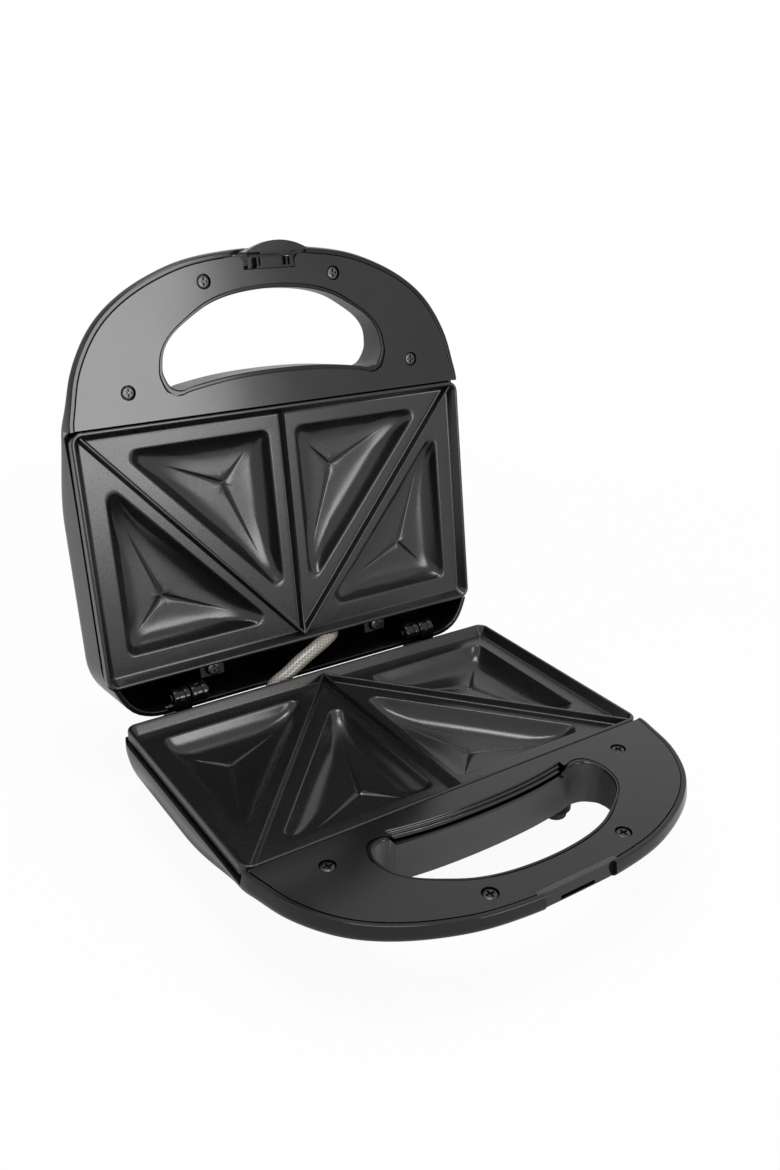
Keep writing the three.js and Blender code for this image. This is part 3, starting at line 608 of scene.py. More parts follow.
class Shader:
    """A material or world that is put together from nodes."""

    def __init__(self, owner: bpy.types.Material | bpy.types.World) -> None:
        """Take away the owner's own nodes.

        Args:
            owner: the new material or world.
        """
        self.owner = owner
        owner.use_nodes = True
        self.nodes = owner.node_tree.nodes
        self.links = owner.node_tree.links
        self.nodes.clear()

    def node(self, kind: str, settings: dict, inputs: dict) -> bpy.types.Node:
        """Add a node.

        Args:
            kind: the node's type.
            settings: its own values, which are set first.
            inputs: values or links of its sockets, by name or number.

        Returns:
            The node.
        """
        made = self.nodes.new(kind)
        for key, value in settings.items():
            setattr(made, key, value)
        for key, value in inputs.items():
            if isinstance(value, Value):
                value = value.socket
            if isinstance(value, bpy.types.NodeSocket):
                self.links.new(value, made.inputs[key])
            elif isinstance(value, tuple) and len(value) == 3 and made.inputs[key].type == "RGBA":
                made.inputs[key].default_value = (*value, 1)
            else:
                made.inputs[key].default_value = value
        return made

    def place(self) -> bpy.types.NodeSocket:
        """Give the place on the object, in metres."""
        return self.node("ShaderNodeTexCoord", {}, {}).outputs["Object"]

    def noise(self, scale: float, detail: float = 2, stretch: Sequence[float] = (1, 1, 1)) -> Value:
        """Give a soft random value from 0 to 1.

        Args:
            scale: how many blotches to a metre.
            detail: how many finer layers it has.
            stretch: how it is squeezed along each axis.

        Returns:
            The value.
        """
        moved = self.node("ShaderNodeMapping", {}, {"Vector": self.place(), "Scale": tuple(stretch)})
        made = self.node("ShaderNodeTexNoise", {},
                         {"Vector": moved.outputs[0], "Scale": scale, "Detail": detail})
        return Value(self, made.outputs[0])

    def ray(self, kind: str) -> Value:
        """Tell whether the surface is met by one kind of ray."""
        return Value(self, self.node("ShaderNodeLightPath", {}, {}).outputs[f"Is {kind} Ray"])

    def mix(self, factor: Value, first: Colour, second: Colour) -> bpy.types.NodeSocket:
        """Mix two colours."""
        made = self.node("ShaderNodeMix", {"data_type": "RGBA"}, {0: factor, 6: first, 7: second})
        return made.outputs[2]

    def blend(self, factor: Value, first: bpy.types.Node, second: bpy.types.Node) -> bpy.types.Node:
        """Mix two surface or background shaders."""
        return self.node("ShaderNodeMixShader", {}, {0: factor, 1: first.outputs[0], 2: second.outputs[0]})

    def bump(self, height: Value, depth: float) -> bpy.types.NodeSocket:
        """Raise the surface by a height from 0 to 1, as deep as a depth in metres."""
        made = self.node("ShaderNodeBump", {}, {"Strength": 1.0, "Distance": depth, "Height": height})
        return made.outputs[0]

    def surface(self, **inputs: object) -> bpy.types.Material:
        """Close the material with its surface shader.

        Args:
            inputs: values or links by the socket's name, with _ for a space.

        Returns:
            The material.
        """
        named = {key.replace("_", " "): value for key, value in inputs.items()}
        body = self.node("ShaderNodeBsdfPrincipled", {}, named)
        self.node("ShaderNodeOutputMaterial", {}, {"Surface": body.outputs[0]})
        return self.owner


# ---- finishes


def material(name: str) -> Shader:
    """Start an empty material."""
    return Shader(bpy.data.materials.new(name))


def toned(colour: Colour, factor: float, lift: float = 0.0) -> Colour:
    """Make a colour lighter or darker."""
    return tuple(min(1.0, c * factor + lift) for c in colour)


@dataclass(frozen=True)
class Moulding:
    """Moulded plastic with a polished or grained face."""

    name: str
    colour: Colour
    roughness: float
    ripple: float = 0.000003
    ripple_scale: float = 900
    specular: float = 0.5

    def make(self) -> bpy.types.Material:
        """Build the material."""
        s = material(self.name)
        cloud = s.noise(35, 3)
        dust = s.noise(4200, 1)
        fine = s.noise(self.ripple_scale, 2)
        rough = cloud * (self.roughness * 0.5) + self.roughness * 0.72 + (dust - 0.62).clipped() * 0.35
        return s.surface(Base_Color=s.mix(cloud, self.colour, toned(self.colour, 1.7, 0.002)),
                         Roughness=rough, Specular_IOR_Level=self.specular, Normal=s.bump(fine, self.ripple))


@dataclass(frozen=True)
class NonStick:
    """Cast aluminium with a dark sprayed coating."""

    name: str = "non_stick_coating"
    colour: Colour = (0.0056, 0.0054, 0.005)
    roughness: float = 0.23

    def make(self) -> bpy.types.Material:
        """Build the material."""
        s = material(self.name)
        cloud = s.noise(22, 3)
        grain = s.noise(2600, 2)
        speck = (s.noise(1500, 1) - 0.64).clipped() * 4
        rough = cloud * 0.12 + self.roughness - 0.05 + speck * 0.2
        tone = s.mix((cloud * 0.6 + speck * 0.8).clipped(), self.colour, toned(self.colour, 2.1))
        return s.surface(Base_Color=tone, Roughness=rough, Specular_IOR_Level=0.5,
                         Normal=s.bump(grain * 0.7 + s.noise(420, 1) * 0.5, 0.000022))


@dataclass(frozen=True)
class Metal:
    """Drawn, pressed or blackened metal."""

    name: str
    colour: Colour
    roughness: float
    stretch: tuple[float, float, float] = (0.06, 1, 1)

    def make(self) -> bpy.types.Material:
        """Build the material."""
        s = material(self.name)
        line = s.noise(1800, 3, self.stretch)
        cloud = s.noise(60, 2)
        tone = s.mix(cloud, self.colour, toned(self.colour, 0.72))
        return s.surface(Base_Color=tone, Roughness=line * 0.16 + self.roughness - 0.08, Metallic=1.0,
                         Normal=s.bump(line, 0.000006))


@dataclass(frozen=True)
class Matt:
    """Rubber, ceramic or board with a fine dull grain."""

    name: str
    colour: Colour
    roughness: float
    grain: float = 1400
    depth: float = 0.00002

    def make(self) -> bpy.types.Material:
        """Build the material."""
        s = material(self.name)
        cloud = s.noise(90, 3)
        fine = s.noise(self.grain, 2)
        tone = s.mix(cloud, self.colour, toned(self.colour, 1.5, 0.004))
        return s.surface(Base_Color=tone, Roughness=fine * 0.14 + self.roughness - 0.07,
                         Normal=s.bump(fine, self.depth))


@dataclass(frozen=True)
class Braid:
    """Woven glass-fibre sleeve, drawn along the piece's own length, with painted shade in the gaps between
    its strands.
    """

    name: str = "woven_sleeve"
    colour: Colour = (0.4, 0.37, 0.31)
    # shade is the painted shade colour of the gaps between the strands
    shade: Colour = (0.05, 0.044, 0.035)
    around: float = 10
    along: float = 34

    def make(self) -> bpy.types.Material:
        """Build the material."""
        s = material(self.name)
        uv = s.node("ShaderNodeUVMap", {"uv_map": "length"}, {})
        split = s.node("ShaderNodeSeparateXYZ", {}, {0: uv.outputs[0]})
        u = Value(s, split.outputs[0]) * (self.around * math.pi)
        v = Value(s, split.outputs[1]) * (self.along * math.pi)
        strand = ((u + v).sine() ** 2.0).largest((u - v).sine() ** 2.0)
        fluff = s.noise(2400, 3)
        # painted shade: the weave's gaps take the shade colour, the strands' crests the sleeve's own colour
        depth = (strand ** 2.5 * 0.85 + fluff * 0.3).clipped()
        return s.surface(Base_Color=s.mix(depth, self.shade, self.colour), Roughness=0.42 + fluff * 0.1,
                         Specular_IOR_Level=0.5, Coat_Weight=0.7, Coat_Roughness=0.22,
                         Normal=s.bump(depth, 0.00022))


@dataclass(frozen=True)
class Lens:
    """Clear tinted lamp lens."""

    name: str
    colour: Colour

    def make(self) -> bpy.types.Material:
        """Build the material."""
        s = material(self.name)
        facet = s.noise(700, 1)
        tone = s.mix(facet, self.colour, toned(self.colour, 0.45))
        return s.surface(Base_Color=tone, Roughness=facet * 0.1 + 0.06, Coat_Weight=0.5,
                         Normal=s.bump(facet, 0.00004))


class Finishes:
    """Every material of the part, made once."""

    def __init__(self) -> None:
        """Build the materials."""
        self.shell = Moulding("gloss_shell", (0.0024, 0.0027, 0.003), 0.13, specular=0.34).make()
        self.facing = Moulding("satin_facing", (0.0022, 0.0024, 0.0026), 0.165,
                               0.000004, 1500, 0.46).make()
        self.latch = Moulding("latch_moulding", (0.005, 0.0055, 0.0065), 0.2, specular=0.3).make()
        self.plate = NonStick().make()
        self.screw = Metal("blackened_screw", (0.075, 0.075, 0.077), 0.3, (1, 1, 1)).make()
        self.oiled = Metal("oiled_steel", (0.035, 0.035, 0.037), 0.36).make()
        self.element = Metal("heated_sheath", (0.3, 0.27, 0.23), 0.5).make()
        self.tray = Moulding("blackened_sheet", (0.006, 0.006, 0.006), 0.4, specular=0.3).make()
        self.grained = Moulding("grained_wall", (0.034, 0.034, 0.033), 0.4, 0.00002, 2200).make()
        self.rubber = Matt("soft_rubber", (0.012, 0.012, 0.012), 0.75).make()
        self.ceramic = Matt("fired_ceramic", (0.72, 0.69, 0.62), 0.6).make()
        self.board = Matt("lacquered_board", (0.02, 0.12, 0.04), 0.4, 700).make()
        self.sleeve = Braid().make()
        self.red = Lens("red_lens", (0.55, 0.012, 0.012)).make()
        self.green = Lens("green_lens", (0.02, 0.36, 0.07)).make()


# ---- sub-assemblies


def knuckle_spans(half: Half) -> tuple[tuple[float, float], tuple[float, float]]:
    """Give where the two knuckles of a half lie across."""
    near = SIZE.knuckle_start + (SIZE.knuckle_length + SIZE.knuckle_gap) * (half is Half.LOWER)
    return both_sides(near, near + SIZE.knuckle_length)


@dataclass
class Assembly:
    """A group of pieces that lie in one frame."""

    finishes: Finishes
    place: Matrix

    def piece(self, form: Form, name: str, node: str, slot: str, look: bpy.types.Material,
              smooth: float = 35, weighted: bool = True) -> bpy.types.Object:
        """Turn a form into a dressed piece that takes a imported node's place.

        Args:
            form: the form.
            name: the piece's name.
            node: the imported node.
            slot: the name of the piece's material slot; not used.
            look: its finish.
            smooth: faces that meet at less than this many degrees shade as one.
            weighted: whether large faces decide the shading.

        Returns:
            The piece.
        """
        piece = form.finish(name, self.place, look, smooth, weighted)
        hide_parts(node)
        return piece


@dataclass
class HalfAssembly(Assembly):
    """A group of pieces that both halves have."""

    half: Half


@dataclass
class Housing(HalfAssembly):
    """A domed moulding with its lip, hand opening wall and hinge knuckles."""

    lip_round: float = 0.55
    wall_rows: int = 6
    dome_rows: int = 44
    crown_rows: int = 9
    fall_share: float = 1.12
    soften_rounds: int = 5
    plate_lip: float = 7.0
    rear_lip: float = 14.0
    rear_start: float = 2.0
    arm_top: float = 17.0
    notch_half: float = 22.3
    recess_half: float = 20.0
    notch_height: float = 14.0
    notch_back: float = -209.2
    web_half: float = 11.4
    web_height: float = 6.2
    recess_back: float = -209.9
    recess_height: float = 12.5
    reach: float = 2.0
    rear_flare: float = 4.1
    flare_reach: float = 14.0
    dip_height: float = 4.3
    dip_span: tuple[float, float] = (49.0, 54.0)
    dip_depth: tuple[float, float] = (-152.0, -139.0)
    cross_wall: float = 2.2
    roof_post_radius: float = 4.0
    plate_post_foot: float = 25.8
    tab_post_foot: float = 14.4
    leg_radius: float = 8.0
    leg_foot: float = 18.75
    knuckle_ring: float = 3.4
    pin_bore: float = 2.3
    pin_span: tuple[float, float] = (62.0, 88.8)
    arm_foot: float = 7.9
    bush_hole: float = 5.3
    foot_hole: tuple[float, float] = (3.3, 4.3)
    lamp_hole: float = 3.8
    lamp_foot: float = 25.5
    lamp_x: float = 11.0
    lamp_y: float = -117.0
    keeper: tuple[float, float, float] = (9.6, 5.6, 7.5)
    slot: tuple[float, float, float] = (20.5, -209.2, -214.6)
    slot_floor: float = 1.2
    barrel: tuple[float, float] = (22.8, 4.5)
    barrel_bore: tuple[float, float] = (20.3, 2.9)
    undercut: tuple[float, float] = (14.8, -208.1)
    grain_reach: float = 1.6
    plate_posts: tuple = ((-70.0, -34.0), (-70.0, -97.5), (70.0, -34.0), (70.0, -97.5))

    def flared(self, ring: Points) -> Points:
        """Draw the lid's rear lip outward towards its foot."""
        if self.half is Half.UPPER:
            foot = np.clip(1 - ring[:, 2] / DOMES[self.half].side_wall, 0, 1)
            ring[:, 1] += self.rear_flare * foot * smoothstep(ring[:, 1], 0, self.flare_reach)
        return ring

    def tongue_dip(self) -> Form:
        """Make the space that lowers the rear edge of the opening's wall."""
        near, far = self.dip_span
        ramp = [(near + (far - near) * t, self.dip_height * (1 - smoothstep(t, 0, 1)))
                for t in np.linspace(0, 1, 12)]
        right = ramp + [(far, -3.0)]
        outline = right + [(-x, w) for x, w in right[::-1]]
        return loft([np.array([(x, y, w) for x, w in outline]) for y in self.dip_depth])

    def profile(self, inset: float) -> list[Points]:
        """Give the rings from the wall's foot to the crown's middle.

        Args:
            inset: how far inside the outer face they lie.

        Returns:
            The rings, each with its heights.
        """
        dome = DOMES[self.half]
        foot = mirrored(shell_half(SIZE.lip_inset + inset))
        wall = mirrored(shell_half(inset))
        crown_back = SIZE.shell_rear - SIZE.crown_rear
        crown = mirrored(plan_half(SIZE.shell_half - dome.crown_side, crown_back,
                                   SIZE.rear_corner - SIZE.crown_rear, dome.crown_shoulder, SIZE.crown_front))
        high = SIZE.half_height - inset
        k = smoothstep((SIZE.seam_y - wall[:, 1]) / (SIZE.seam_y - SIZE.front_y), *dome.blend)
        top = dome.side_wall + (dome.front_wall - inset - dome.side_wall) * k
        rows = []
        for t in np.arange(self.wall_rows) / self.wall_rows:
            rows.append(np.column_stack([foot + (wall - foot) * t, top * t]))
        for t in np.arange(self.dome_rows + 1) / self.dome_rows:
            plan = (1 - math.cos(t * math.pi / 2)) * (1 - k) + t * k
            rise = math.sin(t * math.pi / 2) * (1 - k) + t ** self.fall_share * k
            rows.append(np.column_stack([wall + (crown - wall) * plan[:, None], top + (high - top) * rise]))
        heart = np.array((0.0, (SIZE.crown_front + crown_back) / 2))
        for s in range(1, self.crown_rows + 1):
            rows.append(at_height(crown + (heart - crown) * (s / self.crown_rows * 0.97), high))
        grid = np.array(rows)
        first = self.wall_rows - 2
        for _ in range(self.soften_rounds):
            inner = grid[first + 1:-1]
            inner += ((grid[first:-2] + grid[first + 2:]) / 2 - inner) * 0.5
        return list(grid)

    def shell(self) -> Form:
        """Make the bare dome with its hollow and a rounded lip."""
        r = self.lip_round
        turns = [math.radians(d) for d in (90, 68, 45, 22, 0)]
        lip = [(SIZE.wall - r + r * math.sin(t), r - r * math.cos(t)) for t in turns]
        lip += [(r - r * math.cos(t), r - r * math.sin(t)) for t in turns]
        turn = [at_height(mirrored(shell_half(SIZE.lip_inset + inset)), w) for inset, w in lip]
        rings = self.profile(SIZE.wall)[:0:-1] + turn + self.profile(0)[1:]
        return loft([self.flared(ring) for ring in rings])

    def arms(self) -> list[Form]:
        """Make the two arms with their knuckles."""
        height = -SIZE.closed_gap / 2
        made = []
        for a, b in knuckle_spans(self.half):
            arm = block((a, SIZE.hinge_y - SIZE.knuckle, height), (b, SIZE.shell_rear - 0.5, self.arm_top))
            arm.join(bar(a, b, SIZE.hinge_y, height, SIZE.knuckle - 0.7, 48, 0.4))
            for c in (a, b - self.knuckle_ring):
                arm.join(bar(c, c + self.knuckle_ring, SIZE.hinge_y, height, SIZE.knuckle + 0.2, 48, 0.9))
            made.append(arm)
        return made

    def inside(self, bound: Form) -> list[Form]:
        """Make the walls and posts inside the dome.

        Args:
            bound: the dome that they may not leave.

        Returns:
            The walls and posts, cut to the dome.
        """
        tall = SIZE.half_height + self.reach
        low = SIZE.cover_thickness + SIZE.gap
        wide = SIZE.shell_half + self.reach
        made = [slab(opening_outline(SIZE.tube_outer), low, tall),
                slab(opening_outline(SIZE.tube_edge), 0, 6),
                block((-wide, SIZE.seam_y - self.cross_wall, low), (wide, SIZE.seam_y, tall))]
        r = self.roof_post_radius
        made += [post(x, y, r, SIZE.well_depth + SIZE.gap, tall, 20) for x, y in COVER_SCREWS]
        made += [post(x, y, r, self.plate_post_foot, tall, 20) for x, y in self.plate_posts]
        made += [post(x, SIZE.tab_y, r, self.tab_post_foot, tall, 24) for x in (-SIZE.tab_x, SIZE.tab_x)]
        if self.half is Half.LOWER:
            side, high = self.recess_half + SIZE.wall, self.recess_height + SIZE.wall
            back = self.recess_back + SIZE.wall
            made += [block((-side, self.recess_back, 0), (side, back + 0.5, high)),
                     block((-30, SIZE.front_y, self.recess_height), (30, back, high))]
        else:
            side = self.notch_half + SIZE.wall
            made.append(block((-side, SIZE.front_y, self.slot_floor),
                              (side, self.notch_back + SIZE.wall, tall)))
        for form in made:
            form.settle()
            form.keep(bound).settle()
        return made

    def grain(self, piece: bpy.types.Object) -> None:
        """Give the inner wall of the hand opening its grained finish."""
        piece.data.materials.append(self.finishes.grained)
        back = self.place.inverted()
        turn = back.to_3x3().normalized()
        edge = opening_outline(SIZE.tube_inner)
        for face in piece.data.polygons:
            spot = back @ face.center
            upright = abs((turn @ face.normal).z) <= 0.5
            away = np.hypot(edge[:, 0] - spot.x, edge[:, 1] - spot.y).min()
            if upright and spot.z >= 1.0 and away < self.grain_reach:
                face.material_index = 1

    def lower_cuts(self, body: Form) -> None:
        """Open the lower half's rear, its front recess and its cord hole.

        Args:
            body: the housing.
        """
        wide, reach = SIZE.shell_half + 2, self.reach
        spans = knuckle_spans(self.half)
        rear = block((-wide, self.rear_start, -reach), (wide, SIZE.shell_rear + reach, self.rear_lip))
        for a, b in spans:
            rear.cut(block((a, SIZE.hinge_y - SIZE.knuckle, -6), (b, SIZE.shell_rear, self.arm_top)))
        half, low, high = self.keeper
        body.cut(rear, block((-self.recess_half, SIZE.front_y - 6, -reach),
                             (self.recess_half, self.recess_back, self.recess_height)),
                 block((-half, self.recess_back - reach, low), (half, self.recess_back + 5, high)),
                 self.tongue_dip(),
                 loft([cord_ring(self.bush_hole, SIZE.shell_rear + d, 40) for d in (-10, 10)]))
        for a, b in spans:
            body.join(block((a, SIZE.shell_rear - SIZE.wall, self.arm_foot),
                            (b, SIZE.shell_rear + 8, self.arm_top)))

    def upper_cuts(self, body: Form) -> None:
        """Open the lid's slot for the latch, its arms' clearance and its lamp holes.

        Args:
            body: the housing.
        """
        front, reach, y, w = SIZE.front_y - 6, self.reach, SIZE.latch_y, SIZE.latch_w
        web = self.web_half
        body.cut(slab(half_moon(*self.slot), -reach, self.notch_height),
                 block((-self.notch_half, front, -reach),
                       (self.notch_half, self.notch_back, self.slot_floor)),
                 block((-web, front, -reach), (web, self.notch_back + SIZE.wall + 1, self.web_height)))
        (near, far), _ = knuckle_spans(Half.LOWER)
        for a, b in both_sides(near - 0.8, far + 2.8):
            body.cut(block((a, SIZE.hinge_y - SIZE.knuckle - 0.8, -6), (b, SIZE.shell_rear + 2, 9)))
        for x in (-self.lamp_x, self.lamp_x):
            body.cut(post(x, self.lamp_y, self.lamp_hole, self.lamp_foot, SIZE.half_height + 2, 32))
        half, radius = self.barrel
        barrel = bar(-half, half, y, w, radius, 64, 1.2)
        barrel.keep(block((-30, -212, 3.0), (30, -190, 12))).settle()
        body.join(barrel)
        half, radius = self.barrel_bore
        side, front = self.undercut
        body.cut(bar(-half, half, y, w, radius), block((-web, front, 1), (side, y, self.web_height)))

    def build(self) -> bpy.types.Object:
        """Build and dress the housing.

        Returns:
            The piece.
        """
        lower = self.half is Half.LOWER
        wide, tall = SIZE.shell_half + 2, SIZE.half_height + 2
        bound = loft([self.flared(r) for r in self.profile(0.02)])
        body = self.shell()
        body.join(*self.inside(bound)).join(*self.arms())
        if lower:
            radius, depth = self.foot_hole
            for x, y in FEET.values():
                leg = post(x, y, self.leg_radius, self.leg_foot, SIZE.half_height, 40)
                leg.cut(loft(self.profile(SIZE.wall))).settle()
                body.join(leg).cut(post(x, y, radius, SIZE.half_height - depth, tall, 24))
        body.settle()
        mouth = [at_height(opening_outline(SIZE.tube_inner + m), w) for w, m in SIZE.rim_round]
        body.cut(loft([*mouth, at_height(opening_outline(SIZE.tube_inner), tall)]))
        end = self.rear_start + self.reach * lower
        body.cut(block((-wide, SIZE.seam_y, -self.reach), (wide, end, self.plate_lip)))
        if lower:
            self.lower_cuts(body)
        else:
            self.upper_cuts(body)
        body.settle()
        body.cut(*[post(x, y, SIZE.thread, SIZE.bore_depth, 7.4, 16) for x, y in COVER_SCREWS],
                 *[post(x, SIZE.tab_y, SIZE.thread, 13.3, 20.6, 16) for x in (-SIZE.tab_x, SIZE.tab_x)],
                 *[bar(a, b, SIZE.hinge_y, -SIZE.closed_gap / 2, self.pin_bore, 24)
                   for a, b in both_sides(*self.pin_span)])
        body.soften(0.4, 38)
        word = self.half.value
        piece = self.piece(body, f"{word}_shell", f"{word}_housing", "shell", self.finishes.shell, 40)
        self.grain(piece)
        return piece


@dataclass
class Facing(HalfAssembly):
    """The flat facing of a handle with its hand opening, screw wells and tongue."""

    edge: float = 0.45
    low: float = -2.0
    screw_hole: float = 1.8
    latch_gap_depth: float = 6.4
    slot_front: float = -171.75
    lug_span: tuple[float, float] = (20.3, 23.3)
    lug_hole: float = 1.35
    recess_half: float = 22.7
    recess_back: float = -207.1
    tongue_stations: int = 72
    tongue_section: tuple = ((5.6, 0.02), (5.1, 0.04), (4.8, 0.16), (4.6, 0.45), (4.5, 1.0), (4.35, 1.28),
                             (4.1, 1.4), (3.6, 1.42), (3.35, 1.55), (3.2, 1.9), (3.1, 2.45), (2.9, 2.72),
                             (2.6, 2.82), (2.1, 2.85), (1.85, 3.0), (1.8, 3.3), (2.0, 3.6), (5.6, 3.2))
    latch_mouth: tuple = ((-19.5, -214), (-18.5, -210.2), (-15, -206.4), (-15, -202), (15, -202),
                          (15, -206.4), (18.5, -210.2), (19.5, -214))

    def tongue(self) -> Form:
        """Make the part of the facing that turns down behind the hand opening."""
        rows = []
        for margin, w in self.tongue_section:
            curve = opening_outline(margin)
            near = (np.abs(curve[:, 0]) < SIZE.tongue_half + 6) & (curve[:, 1] > SIZE.opening_back - 6)
            side = curve[near][np.argsort(curve[near][:, 0])]
            x = np.linspace(-1, 1, self.tongue_stations) * (SIZE.tongue_half + 0.2 - 0.9 * w)
            rows.append(at_height(np.column_stack([x, np.interp(x, *side.T)]), w))
        return loft(list(np.array(rows).transpose(1, 0, 2)))

    def upper_front(self, body: Form) -> None:
        """Open the lid's facing for the latch and give it the two lugs of the pin."""
        body.cut(slab(np.array(self.latch_mouth), self.low, self.latch_gap_depth))
        for a, b in both_sides(*self.lug_span):
            lug = block((a, -205.1, 1.25), (b, -200.1, 7.3))
            body.join(lug.cut(bar(a - 2, b + 2, SIZE.latch_y, SIZE.latch_w, self.lug_hole, 20)))

    def lower_front(self, body: Form) -> None:
        """Open the lower facing's front recess and turn its rear edge down into a tongue."""
        half, high = SIZE.tongue_half, 4.5
        slot = slab(opening_outline(SIZE.tongue_back), self.low, high)
        slot.keep(block((-half, self.slot_front, self.low), (half, -140, high)))
        recess = block((-self.recess_half, SIZE.front_y, self.low),
                       (self.recess_half, self.recess_back, self.latch_gap_depth))
        body.cut(recess, slot)
        body.settle().join(self.tongue())

    def build(self) -> bpy.types.Object:
        """Build and dress the facing.

        Returns:
            The piece.
        """
        body = slab(mirrored(shell_half(SIZE.wall + SIZE.lip_inset + SIZE.gap)), 0, SIZE.cover_thickness)
        body.keep(block((-130, -230, self.low), (130, SIZE.seam_y - SIZE.gap, 6))).settle()
        body.join(*[post(x, y, SIZE.well_radius, 0.6, SIZE.well_depth, 48) for x, y in COVER_SCREWS])
        body.cut(slab(opening_outline(SIZE.facing_edge), self.low, 20))
        for x, y in COVER_SCREWS:
            body.cut(post(x, y, SIZE.bore_radius, self.low, SIZE.bore_depth, 48),
                     post(x, y, self.screw_hole, 0, 9, 24))
        if self.half is Half.UPPER:
            self.upper_front(body)
        else:
            self.lower_front(body)
        body.soften(self.edge, 50, 3)
        word = self.half.value
        return self.piece(body, f"{word}_facing", f"{word}_handle_cover", "facing", self.finishes.facing)


@dataclass
class Plate(HalfAssembly):
    """The cast plate: rim, ridges and four pockets with a pressed star."""

    corner: float = 6.0
    flare: float = 1.2
    lid_flare: float = 2.0
    mouth: float = 8.0
    mouth_radius: float = 4.6
    star_half: float = 1.55
    star_depth: float = 0.95
    star_reach: tuple[float, float, float] = (0.56, 0.64, 0.56)
    edge_steps: int = 22
    bend_steps: int = 8
    profile: tuple = ((-0.9, 0.0), (-0.45, 0.03), (-0.05, 0.14), (0.25, 0.4), (0.5, 0.9), (0.85, 1.65),
                      (1.3, 2.7), (1.9, 3.95), (2.6, 5.15), (3.4, 6.25), (4.3, 7.2), (5.3, 8.0),
                      (6.4, 8.65), (7.6, 9.15), (8.9, 9.5), (10.3, 9.72), (12.0, 9.87), (14.0, 9.95),
                      (16.5, 9.98), (19.0, 9.99), (21.4, 10.0), (24.0, 10.0), (25.2, 10.0))
    laterals: tuple = (0.2, 0.5, 0.85, 1.25, 1.75, 2.6, 3.8, 5.2)
    rim: tuple = ((0, 0.8), (0.08, 0.45), (0.3, 0.15), (0.65, 0), (1.3, 0), (1.7, 0.1), (1.95, 0.4),
                  (2.5375, 1.3875), (3.125, 2.375), (3.7125, 3.3625), (4.3, 4.35), (4.45, 4.65),
                  (4.7, 4.87), (5.1, 4.97), (5.7, 5.0))
    ridge_side: tuple = ((1.9, 5.6), (1.9, 4.985), (1.6, 4.9), (1.4, 4.7), (1.25, 4.4), (0.75, 1.7),
                         (0.62, 1.3), (0.4, 1.06), (0.15, 1.0))

    def cells(self) -> list[list[Vector]]:
        """Give the four cells between the ridges, as corner points."""
        rim = SIZE.rim_width + SIZE.rim_slope
        side, rear, front = SIZE.plate_half - rim, -rim, rim - SIZE.plate_depth
        outer = [Vector((0, rear)), Vector((side, front)), Vector((side, rear))]
        inner = [Vector((side, front)), Vector((0, rear)), Vector((0, front))]
        flip = [[Vector((-p.x, p.y)) for p in cell] for cell in (outer, inner)]
        return [outer, inner, *flip]

    def star(self, p: Vector, heart: Vector, cell: list[Vector], spans: list[float]) -> float:
        """Tell how deep the pressed star is at a point.

        Args:
            p: the point.
            heart: the star's middle.
            cell: the cell's corners.
            spans: how far each arm reaches.

        Returns:
            The depth below the floor.
        """
        deepest = 0.0
        for corner, span in zip(cell, spans):
            arm = (corner - heart).normalized()
            off = p - heart
            along = max(0.0, off.dot(arm))
            aside = (off - arm * along).length
            s = min(1.0, along / span)
            width = self.star_half * (1 - s) + 0.05
            deepest = max(deepest, self.star_depth * (1 - s) ** 0.7 * max(0.0, 1 - aside / width))
        return deepest

    def ring(self, cell: list[Vector], inset: float, radius: float, height: float, groove: float) -> Points:
        """Draw one ring of a pocket.

        Args:
            cell: the cell's corners.
            inset: how far the ring lies inside the cell's sides.
            radius: its corner radius.
            height: its depth below the parting plane.
            groove: 1 where the star's full depth counts, 0 where none does.

        Returns:
            The ring's points.
        """
        lengths = [(cell[(i + 1) % 3] - cell[(i + 2) % 3]).length for i in range(3)]
        around = sum(lengths)
        heart = sum((c * l for c, l in zip(cell, lengths)), Vector((0, 0))) / around
        inner_radius = abs((cell[1] - cell[0]).cross(cell[2] - cell[0])) / around
        own = inner_radius - inset
        radius = min(radius, 0.97 * own)
        rows, ends, spans = [], [], []
        for i, corner in enumerate(cell):
            before = (cell[i - 1] - corner).normalized()
            after = (cell[(i + 1) % 3] - corner).normalized()
            line = (before + after).normalized()
            half = before.angle(after) / 2
            across = Vector((-line.y, line.x))
            if across.dot(after) < 0:
                across.negate()
            tip = heart + (corner - heart) * own / inner_radius
            centre = tip + line * (radius / math.sin(half))
            flat = radius * math.cos(half)
            scale = min(1.0, 0.62 * own / self.laterals[-1])

            def at(u: float) -> Vector:
                """Give the ring's point at a sideways distance from the corner's bisector."""
                if abs(u) < flat:
                    return centre - line * math.sqrt(radius ** 2 - u ** 2) + across * u
                return tip + line * (abs(u) / math.tan(half)) + across * u

            last = self.laterals[-1] * scale
            offsets = [-u * scale for u in self.laterals[::-1]] + [0.0] + [u * scale for u in self.laterals]
            rows.append([at(u) for u in offsets])
            steps = range(1, self.bend_steps + 1) if flat > last else ()
            bend = [last + (flat - last) * k / self.bend_steps for k in steps]
            ends.append(([at(-u) for u in bend[::-1]], [at(u) for u in bend]))
            spans.append((inner_radius - self.mouth) / math.sin(half) * self.star_reach[i])
        out = []
        for i in range(3):
            out += rows[i]
            j = (i + 1) % 3
            path = np.array([rows[i][-1], *ends[i][1], *ends[j][0], rows[j][0]])
            out += [Vector(p) for p in evened(path, self.edge_steps)[1:-1]]
        return np.array([(p.x, p.y, height + groove * self.star(p, heart, cell, spans)) for p in out])

